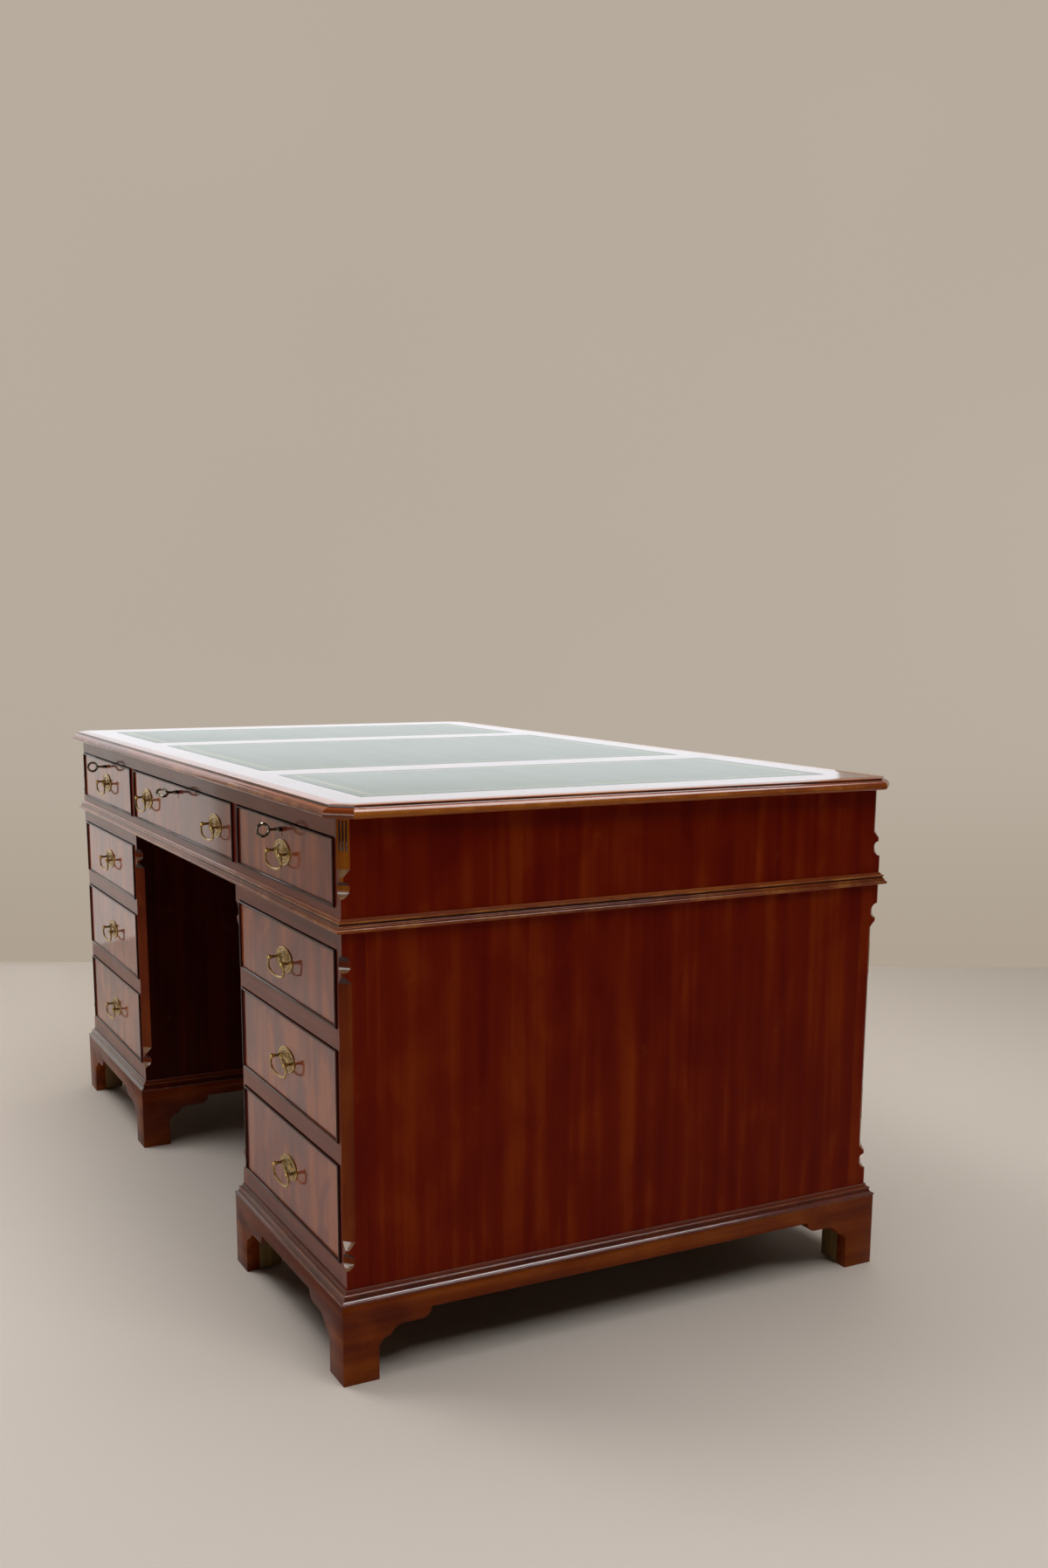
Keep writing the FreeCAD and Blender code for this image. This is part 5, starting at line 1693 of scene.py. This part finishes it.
def carved(solid: Solid, cutters: Sequence[Solid]) -> Solid:
    """Cut closed bodies out of another one.

    Args:
        solid: The body to cut.
        cutters: The bodies to take away.

    Returns:
        What is left.
    """
    things = []
    for title, parts in (("blank", [solid]), ("waste", list(cutters))):
        spots, faces = [], []
        for part in parts:
            faces += [tuple(corner + len(spots) for corner in face) for face in part.faces]
            spots += part.spots
        mesh = bpy.data.meshes.new(title)
        mesh.from_pydata(spots, [], faces)
        things.append(linked(title, mesh))
    blank, waste = things
    cut = blank.modifiers.new("cut", "BOOLEAN")
    cut.operation = "DIFFERENCE"
    cut.solver = "EXACT"
    cut.object = waste
    bpy.context.view_layer.update()
    result = blank.evaluated_get(bpy.context.evaluated_depsgraph_get()).to_mesh()
    made = Solid([vertex.co.copy() for vertex in result.vertices],
                 [tuple(polygon.vertices) for polygon in result.polygons])
    for thing in things:
        mesh = thing.data
        bpy.data.objects.remove(thing)
        bpy.data.meshes.remove(mesh)
    return made


@dataclass
class Plinths:
    """The scrolled bracket plinths with their corner blocks."""

    arris: float = 0.8 * MM
    block_size: float = 50.0 * MM
    pedestal_centre: float = 523.5 * MM

    def build(self) -> None:
        """Make the plinths."""
        draft = Draft("scrolled_plinths")
        for solid in solids_of("bracket_plinths"):
            work = eased(solid, self.arris)
            if max(solid.size().xy) < self.block_size:
                draft.add(work, FOOT_INSIDE, Grain.UPRIGHT)
            else:
                draft.add(work, PLINTH, choose=self.inside_of(solid))
        draft.build("desk", "mahogany_veneer", "bracket_plinths")

    def inside_of(self, solid: Solid) -> FacePick:
        """Leave the inner face of a plinth board bare.

        Args:
            solid: The board.

        Returns:
            A function that picks the finish of a face.
        """
        centre, size = solid.centre(), solid.size()
        axis = 0 if size.x < size.y else 1
        middle = (math.copysign(self.pedestal_centre, centre.x), 0.0)[axis]
        inward = math.copysign(1.0, middle - centre[axis])

        def choose(normal: Vector, _middle: Vector) -> Finish:
            """Pick the finish of one face."""
            return FOOT_INSIDE if normal[axis] * inward > MOSTLY else PLINTH
        return choose


# ---- Drawers and doors ----
@dataclass
class Drawers:
    """The twelve drawers: veneered fronts, rounded cock beads and pale linings."""

    arris: float = 0.5 * MM
    nose_ease: float = 0.35 * MM
    slot_width: float = 2.0 * MM
    slot_foot: float = 10.0 * MM
    slot_depth: float = 4.0 * MM

    def build(self) -> None:
        """Make the drawers."""
        for name in [body for body in frame["bodies"] if body.endswith("_drawer")]:
            draft = Draft(name + "_wood")
            solids = solids_of(name)
            front, choose = self.slotted(name, solids[0])
            draft.add(eased(front, 0.0), FRONT_VENEER, Grain.UPRIGHT, choose=choose)
            for bead in solids[1:5]:
                draft.add(eased(bead, self.nose_ease), BEAD_AND_PAINTED_SHADE)
            for board in solids[5:]:
                draft.add(eased(board, self.arris), LINING)
            draft.build(name, "mahogany_veneer", name)

    def slotted(self, name: str, front: Solid) -> tuple[Solid, Optional[FacePick]]:
        """Cut the slot for the key's bit below the key of a locked drawer.

        Args:
            name: The drawer's body.
            front: The drawer's front.

        Returns:
            The front, and what picks the finish of its faces: the slot's inside gets painted
            shade.
        """
        keys = [Vector(joint["pos_m"]) for joint in frame["joints"]
                if joint["parent"] == name and joint["child"].endswith("_key")]
        if not keys:
            return front, None
        face, half = front.low().y, self.slot_width / 2
        low = Vector((keys[0].x - half, face - self.slot_depth, keys[0].z - self.slot_foot))
        high = Vector((keys[0].x + half, face + self.slot_depth, keys[0].z))

        def choose(_normal: Vector, middle: Vector) -> Finish:
            """Pick the finish of one face.

            Args:
                _normal: The face's normal, which doesn't count here.
                middle: The face's middle.

            Returns:
                Its finish.
            """
            inside = (low.x <= middle.x + MERGE_GAP and middle.x <= high.x + MERGE_GAP
                      and low.z <= middle.z + MERGE_GAP and middle.z <= high.z
                      and face + 0.1 * self.slot_depth < middle.y < high.y + MERGE_GAP)
            # The slot's inside faces take the dark bead finish: painted shade.
            return BEAD_AND_PAINTED_SHADE if inside else FRONT_VENEER
        return carved(front, [box_solid(low, high)]), choose


@dataclass
class Doors:
    """The two cupboard doors with their planted beads."""

    arris: float = 0.6 * MM
    nose_ease: float = 0.35 * MM

    def build(self) -> None:
        """Make the doors."""
        for name in ("left_cupboard_door", "right_cupboard_door"):
            draft = Draft(name + "_wood")
            solids = solids_of(name)
            draft.add(eased(solids[0], self.arris), FRONT_VENEER, Grain.UPRIGHT)
            for bead in solids[1:]:
                draft.add(eased(bead, self.nose_ease), BEAD_AND_PAINTED_SHADE)
            draft.build(name, "mahogany_veneer", name)


# ---- Metalwork ----
class Facing(Enum):
    """Which side of the desk a fitting looks to."""

    FRONT = -1
    REAR = 1

    @classmethod
    def of(cls, name: str) -> "Facing":
        """The side that the name of a drawer or bail tells."""
        return cls.REAR if name.startswith("rear") else cls.FRONT

    def matrix(self, place: Vector) -> Matrix:
        """Turn a fitting to its place.

        Args:
            place: Where its foot goes. In the fitting, Z points out and Y points up.

        Returns:
            The matrix that moves it there.
        """
        turn = Matrix.Rotation(math.radians(90.0), 4, "X")
        if self is Facing.REAR:
            turn = Matrix.Rotation(math.radians(180.0), 4, "Z") @ turn
        return Matrix.Translation(place) @ turn


def half_depth() -> float:
    """How far the drawer fronts stand from the middle of the desk."""
    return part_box("frieze_rails")[1].y


@dataclass
class HandleSet:
    """Oval stepped plates with ball-ended studs, and the bails that hang in them.

    The rings of a plate are (share of its size, height, wear), and the outline of a stud is
    (radius, height, wear), with heights and radii in millimetres.
    """

    half_width: float = 33.0 * MM
    half_height: float = 18.0 * MM
    span: float = 26.5 * MM
    bail_half_width: float = 32.0 * MM
    bail_drop: float = 21.5 * MM
    bail_neck: float = 8.0 * MM
    bail_corner: float = 11.0 * MM
    bail_radius: float = 1.45 * MM
    bail_swell: float = 0.3 * MM
    grip_start: float = 0.55
    grip_run: float = 0.4
    bail_wear: float = 0.45
    grip_wear: float = 0.35
    pin_end: float = 3.0 * MM
    nut_reach: float = 14.0 * MM
    lock_depth: float = 14.0 * MM
    arris: float = 0.3 * MM
    elbow: float = 2.4 * MM
    plate_sides: int = 64
    stud_sides: int = 20
    wire_sides: int = 10
    # The rings' third value paints ridges pale and grooves dark: handled brass and patina, and a
    # painted highlight and painted shade.
    plate_rings: tuple[tuple[float, float, float], ...] = (
        (1.0, 0.0, 0.3), (1.0, 0.8, 0.5), (0.992, 1.3, 0.7), (0.972, 1.6, 0.75),
        (0.948, 1.6, 0.7), (0.925, 1.35, 0.3), (0.905, 1.2, 0.2), (0.86, 1.2, 0.4),
        (0.74, 1.2, 0.4), (0.71, 1.25, 0.1), (0.69, 1.6, 0.5), (0.665, 1.8, 0.7),
        (0.64, 1.65, 0.6), (0.62, 1.1, 0.0), (0.60, 0.8, -0.1), (0.55, 0.8, 0.2),
        (0.525, 1.1, 0.4), (0.505, 1.3, 0.6), (0.48, 1.25, 0.5), (0.46, 0.9, 0.0),
        (0.43, 0.8, 0.0), (0.40, 0.8, 0.2), (0.38, 1.05, 0.4), (0.355, 1.2, 0.6),
        (0.33, 1.05, 0.4), (0.31, 0.8, 0.0), (0.25, 0.85, 0.2), (0.22, 1.15, 0.5),
        (0.17, 1.35, 0.6), (0.10, 1.4, 0.6), (0.04, 1.4, 0.6))
    stud_outline: tuple[tuple[float, float, float], ...] = (
        (2.0, -20.0, 0.2), (2.0, 1.0, 0.2), (3.6, 1.2, 0.3), (3.9, 1.6, 0.5), (3.7, 2.1, 0.5),
        (3.0, 2.4, 0.2), (2.3, 2.9, 0.0), (2.0, 3.8, 0.0), (1.9, 6.6, 0.1), (2.1, 9.4, 0.1))
    ball_radius: float = 3.55
    ball_height: float = 13.0
    # The ball at a stud's end is painted pale: handled brass and a painted highlight.
    ball_wear_and_light: float = 0.85

    def plate(self) -> WornAndLit:
        """The stepped oval plate.

        Returns:
            The plate, and a value per corner: pale ridges with a painted highlight, dark grooves
                with painted shade.
        """
        sides = self.plate_sides
        rings = [oval(self.half_width * share, self.half_height * share, height * MM, sides)
                 for share, height, _ in self.plate_rings]
        return lofted(rings), [worn for *_, worn in self.plate_rings for _side in range(sides)]

    def stud(self) -> WornAndLit:
        """A turned stud with a ball at its end.

        Returns:
            The stud, and a value per corner: a pale ball with a painted highlight, dark necks with
                painted shade.
        """
        ball = arc((0.0, self.ball_height), self.ball_radius, -56.0, 86.0, 12)
        return lathed([*self.stud_outline, *[(*spot, self.ball_wear_and_light) for spot in ball]],
                      self.stud_sides)

    def bail_path(self) -> list[Vector]:
        """The middle line of the bail's wire.

        Returns:
            Its points from one pin to the other.
        """
        reach, drop = self.bail_half_width, self.bail_drop - self.bail_neck
        corner, elbow = self.bail_corner, self.elbow
        side, slack = reach - corner, drop - corner
        lift = (side * side - slack * slack) / (2 * slack)
        lean = math.degrees(math.atan(side / lift))
        right = [(self.span - self.pin_end, 0.0), (reach - 1.5 * elbow, 0.0)]
        right += arc((reach - elbow, -elbow), elbow, 90.0, 0.0, 5)
        right += [(reach, -0.6 * self.bail_neck)]
        right += arc((side, -self.bail_neck), corner, 0.0, -(90.0 - lean), 8)
        bottom = arc((0.0, lift - self.bail_neck), lift + drop, -(90.0 - lean), -(90.0 + lean), 10)
        left = [(-x, y) for x, y in reversed(right)]
        return [Vector((x, y, 0.0)) for x, y in [*right, *bottom[1:-1], *left]]

    def bail(self) -> WornAndLit:
        """The bail, a little thicker where the hand pulls it.

        Returns:
            The bail, and a wear value per corner.
        """
        path = self.bail_path()
        radii, wear_and_light = [], []
        for spot in path:
            hang = -spot.y / self.bail_drop
            grip = max(0.0, min(1.0, (hang - self.grip_start) / self.grip_run))
            radii.append(self.bail_radius + self.bail_swell * grip)
            wear_and_light += [self.bail_wear + self.grip_wear * grip] * self.wire_sides
        return tube(path, radii, UP, self.wire_sides), wear_and_light

    def fittings(self) -> dict[str, list[Spot]]:
        """The places of the plates on each drawer, read from the bails' joints.

        Returns:
            (x, z) places by the drawer's body.
        """
        found: dict[str, list[Spot]] = {}
        for joint in frame["joints"]:
            if joint["child"].endswith("_bail"):
                place = joint["pos_m"]
                found.setdefault(joint["parent"], []).append((place[0], place[2]))
        return found

    def build(self) -> None:
        """Make the plates, studs, nuts, lock cases and bails."""
        plate, plate_wear_and_light = self.plate()
        stud, stud_wear_and_light = self.stud()
        bail, bail_wear = self.bail()
        depth = half_depth()
        for drawer, places in self.fittings().items():
            facing = Facing.of(drawer)
            draft = Draft(drawer + "_fittings")
            for x, z in places:
                matrix = facing.matrix(Vector((x, facing.value * depth, z)))
                draft.add(plate.moved(matrix), BRASS, wear_and_light=plate_wear_and_light)
                for side in (-1, 1):
                    shift = Matrix.Translation((side * self.span, 0.0, 0.0))
                    draft.add(stud.moved(matrix @ shift), BRASS, wear_and_light=stud_wear_and_light)
            for solid in solids_of(drawer + "_brass"):
                size = solid.size()
                if max(size) < self.nut_reach or size.y < self.lock_depth:
                    draft.add(eased(solid, self.arris), BRASS)
            draft.build(drawer, "antique_brass", drawer + "_brass")
        for joint in frame["joints"]:
            name = joint["child"]
            if name.endswith("_bail"):
                draft = Draft(name + "_wire")
                matrix = Facing.of(name).matrix(Vector(joint["pos_m"]))
                draft.add(bail.moved(matrix), BRASS, wear_and_light=bail_wear)
                draft.build(name, "antique_brass", name)


@dataclass
class Keys:
    """Steel keys with a ring bow, a collared shaft and a bit, and the bolts that they lift.

    The shaft's outline is (radius, height, wear), with radius and height in millimetres.
    """

    bow_radius: float = 8.4 * MM
    bow_wire: float = 2.15 * MM
    bow_height: float = 27.0 * MM
    tip: float = -24.0 * MM
    bit_reach: float = 7.6 * MM
    bit_width: float = 2.4 * MM
    bit_length: float = 3.0 * MM
    bit_ease: float = 0.3 * MM
    bolt_ease: float = 0.4 * MM
    turned: float = 50.0
    sides: int = 20
    bow_steps: int = 36
    bow_sides: int = 12
    # The shaft's third column paints the collars' beads pale, as handled steel and a painted
    # highlight, and the necks and barrel dark, as dirty steel and painted shade.
    shaft: tuple[tuple[float, float, float], ...] = (
        (1.0, -24.0, 0.2), (2.1, -23.4, 0.2), (2.1, 0.6, -0.2), (3.0, 0.9, -0.3),
        (3.4, 1.3, -0.3), (3.4, 3.4, -0.3), (3.0, 3.8, -0.3), (2.4, 4.1, -0.4), (2.4, 4.5, 0.2),
        (3.5, 4.8, 1.2), (3.8, 5.2, 1.2), (3.7, 5.7, 1.0), (3.1, 5.9, -0.2), (3.6, 6.2, 1.2),
        (3.7, 6.7, 1.2), (3.1, 7.1, 0.6), (2.4, 7.4, -0.2), (2.1, 8.2, 0.0), (2.0, 12.0, 0.1),
        (2.1, 15.0, 0.1), (2.7, 17.0, 0.3), (2.5, 18.6, 0.3), (1.2, 19.2, 0.3))

    def form(self) -> list[tuple[Solid, Optional[list[float]]]]:
        """The key's bodies. Z points out of the drawer, and the bow is in YZ.

        Returns:
            Each body with a value per corner, low for dirty places and painted shade and high for
            worn places and painted highlights, or with None where it is plain.
        """
        turns = [math.tau * step / self.bow_steps for step in range(self.bow_steps)]
        ring = [Vector((0.0, self.bow_radius * math.cos(turn),
                        self.bow_height + self.bow_radius * math.sin(turn))) for turn in turns]
        bow = tube(ring, [self.bow_wire] * len(ring), Vector((1.0, 0.0, 0.0)), self.bow_sides,
                   closed=True)
        half = self.bit_width / 2
        bit = box_solid(Vector((-half, -self.bit_reach, self.tip)),
                        Vector((half, 0.0, self.tip + self.bit_length)))
        return [lathed(self.shaft, self.sides), (bow, None), (eased(bit, self.bit_ease), None)]

    def build(self) -> None:
        """Make the keys and finish the bolts."""
        for joint in frame["joints"]:
            name = joint["child"]
            if not name.endswith("_key"):
                continue
            spin = Matrix.Rotation(math.radians(self.turned if name.startswith("centre") else 0.0),
                                   4, "Z")
            matrix = Facing.FRONT.matrix(Vector(joint["pos_m"])) @ spin
            draft = Draft(name + "_turned")
            for solid, wear_and_light in self.form():
                draft.add(outward_facing(solid.moved(matrix)), STEEL, wear_and_light=wear_and_light)
            draft.build(name, "dark_steel", name)
            place = name.removesuffix("_key")
            bolt = Draft(place + "_bolt_plate")
            for solid in solids_of(place + "_lock_bolt"):
                bolt.add(eased(solid, self.bolt_ease), IRON)
            bolt.build(place + "_lock_bolt", "dark_steel", place + "_lock_bolt")


@dataclass
class Hinges:
    """The hinge leaves of the doors and posts, and the doors' escutcheons."""

    arris: float = 0.15 * MM

    def build(self) -> None:
        """Make the hinges and escutcheons."""
        for node, body in (("post_hinge_leaves", "desk"),
                           ("left_cupboard_door_brass", "left_cupboard_door"),
                           ("right_cupboard_door_brass", "right_cupboard_door")):
            draft = Draft(node + "_dressed")
            for solid in solids_of(node):
                draft.add(eased(solid, self.arris, 1), BRASS)
            draft.build(body, "antique_brass", node)


# ---- Studio ----
@dataclass
class Viewpoint:
    """The camera."""

    place: tuple[float, float, float] = (2.4874, -1.0983, 0.9789)
    heading: float = 62.08
    pitch: float = -10.315
    roll: float = 0.334
    focal_pixels: float = 1735.08
    picture_height: float = 1796.0
    horizon_pixels: float = 138.96
    sensor: float = 36.0

    def build(self) -> None:
        """Make the camera and use it."""
        data = bpy.data.cameras.new("camera")
        data.sensor_width = self.sensor
        data.lens = self.focal_pixels / self.picture_height * self.sensor
        data.shift_y = self.horizon_pixels / self.picture_height
        camera = linked("camera", data)
        turn = (Matrix.Rotation(math.radians(self.heading), 4, "Z")
                @ Matrix.Rotation(math.radians(90.0 + self.pitch), 4, "X")
                @ Matrix.Rotation(math.radians(self.roll), 4, "Z"))
        camera.matrix_world = Matrix.Translation(self.place) @ turn
        bpy.context.scene.camera = camera


@dataclass(frozen=True)
class Softbox:
    """A rectangular lamp that looks at a place."""

    name: str
    place: Vector
    target: Vector
    width: float
    height: float
    radiance: float
    lights: bool = True
    glints: bool = True
    tint: tuple[float, float, float] = (1.0, 1.0, 1.0)

    def build(self) -> None:
        """Make the lamp."""
        data = bpy.data.lights.new(self.name, "AREA")
        data.shape = "RECTANGLE"
        data.size = self.width
        data.size_y = self.height
        data.energy = self.radiance * math.pi * self.width * self.height
        data.color = self.tint
        lamp = linked(self.name, data)
        look = self.target - self.place
        lamp.matrix_world = (Matrix.Translation(self.place)
                             @ look.to_track_quat("-Z", "Y").to_matrix().to_4x4())
        lamp.visible_camera = False
        lamp.visible_diffuse = self.lights
        lamp.visible_glossy = self.glints


@dataclass
class Studio:
    """A plain wall and floor with soft lamps."""

    wall_distance: float = 4.394
    wall_width: float = 14.0
    wall_height: float = 6.0
    floor_reach: float = 9.0
    floor_finish: Finish = PlainFloor()
    wall_finish: Finish = PlainWall()
    world_colour: Colour = paint(184, 173, 159)
    world_strength: float = 0.08
    world_glossy: float = 0.1
    wall_gap: float = 0.05
    glare_place: Spot = (-0.75, 1.15)
    sheen_place: Spot = (-1.9, 0.5)

    def ground(self, name: str, spots: list[Vector], finish: Finish) -> None:
        """Make a flat sheet of the background.

        Args:
            name: Its name.
            spots: Its four corners.
            finish: Its finish.
        """
        mesh = bpy.data.meshes.new(name)
        mesh.from_pydata(spots, [], [(0, 1, 2, 3)])
        mesh.materials.append(finish.material())
        linked(name, mesh)

    def build(self, view: Viewpoint) -> None:
        """Make the wall, the floor, the lamps and the world light.

        Args:
            view: The camera's place, which the wall stands square to.
        """
        heading = math.radians(view.heading)
        ahead = Vector((-math.sin(heading), math.cos(heading), 0.0))
        right = Vector((math.cos(heading), math.sin(heading), 0.0))
        foot = Vector((view.place[0], view.place[1], 0.0)) + ahead * self.wall_distance
        side = right * (self.wall_width / 2)
        up = Vector((0.0, 0.0, self.wall_height))
        self.ground("studio_wall", [foot - side, foot + side, foot + side + up, foot - side + up],
                    self.wall_finish)
        near = foot - ahead * self.floor_reach
        self.ground("studio_floor", [near - side, near + side, foot + side, foot - side],
                    self.floor_finish)

        def on_wall(along: float, level: float) -> Vector:
            """A place just in front of the wall."""
            return foot - ahead * self.wall_gap + right * along + Vector((0.0, 0.0, level))

        glare, sheen = on_wall(*self.glare_place), on_wall(*self.sheen_place)
        for lamp in (
                Softbox("glare_panel", glare, glare - ahead, 3.3, 0.8, 0.95, lights=False,
                        tint=(0.88, 0.97, 1.08)),
                Softbox("sheen_panel", sheen, sheen - ahead, 1.1, 1.0, 0.5, lights=False),
                Softbox("crown_panel", Vector((0.9, 1.0, 3.4)), Vector((0.5, 0.2, 0.3)),
                        2.2, 2.2, 11.0, lights=False),
                Softbox("spark_panel", Vector((1.4, -3.4, 1.5)), Vector((0.7, -0.4, 0.6)),
                        1.6, 1.6, 4.0, lights=False),
                Softbox("overhead_panel", Vector((0.0, 0.0, 3.6)), Vector((0.0, 0.0, 0.0)),
                        3.4, 3.4, 2.2, glints=False),
                Softbox("key_panel", Vector((-1.2, -1.8, 3.6)), Vector((0.0, -0.3, 0.3)),
                        1.4, 1.4, 5.5, glints=False),
                Softbox("end_panel", Vector((2.5, 0.3, 3.3)), Vector((0.7, 0.0, 0.3)),
                        1.4, 1.4, 4.8, glints=False)):
            lamp.build()
        world = bpy.data.worlds.new("studio_world")
        world.use_nodes = True
        sheet = NodeSheet(world.node_tree)
        output = sheet.add("ShaderNodeOutputWorld")
        background = sheet.add("ShaderNodeBackground")
        sheet.wire(background.outputs[0], output.inputs["Surface"])
        strength = sheet.sum_up("ADD", sheet.seen(self.world_glossy), self.world_strength,
                                clamp=True)
        sheet.feed(background, Color=self.world_colour, Strength=strength)
        bpy.context.scene.world = world


def main() -> None:
    """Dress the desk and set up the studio."""
    logging.basicConfig(level=logging.INFO, format="%(name)s: %(message)s")
    bpy.context.scene.view_settings.view_transform = "Standard"
    for maker in (Top(), Mouldings(), Carcass(), Plinths(), Drawers(), Doors(), HandleSet(),
                  Keys(), Hinges()):
        maker.build()
        LOG.info("made %s", type(maker).__name__)
    view = Viewpoint()
    view.build()
    Studio().build(view)


if __name__ == "__main__":
    main()
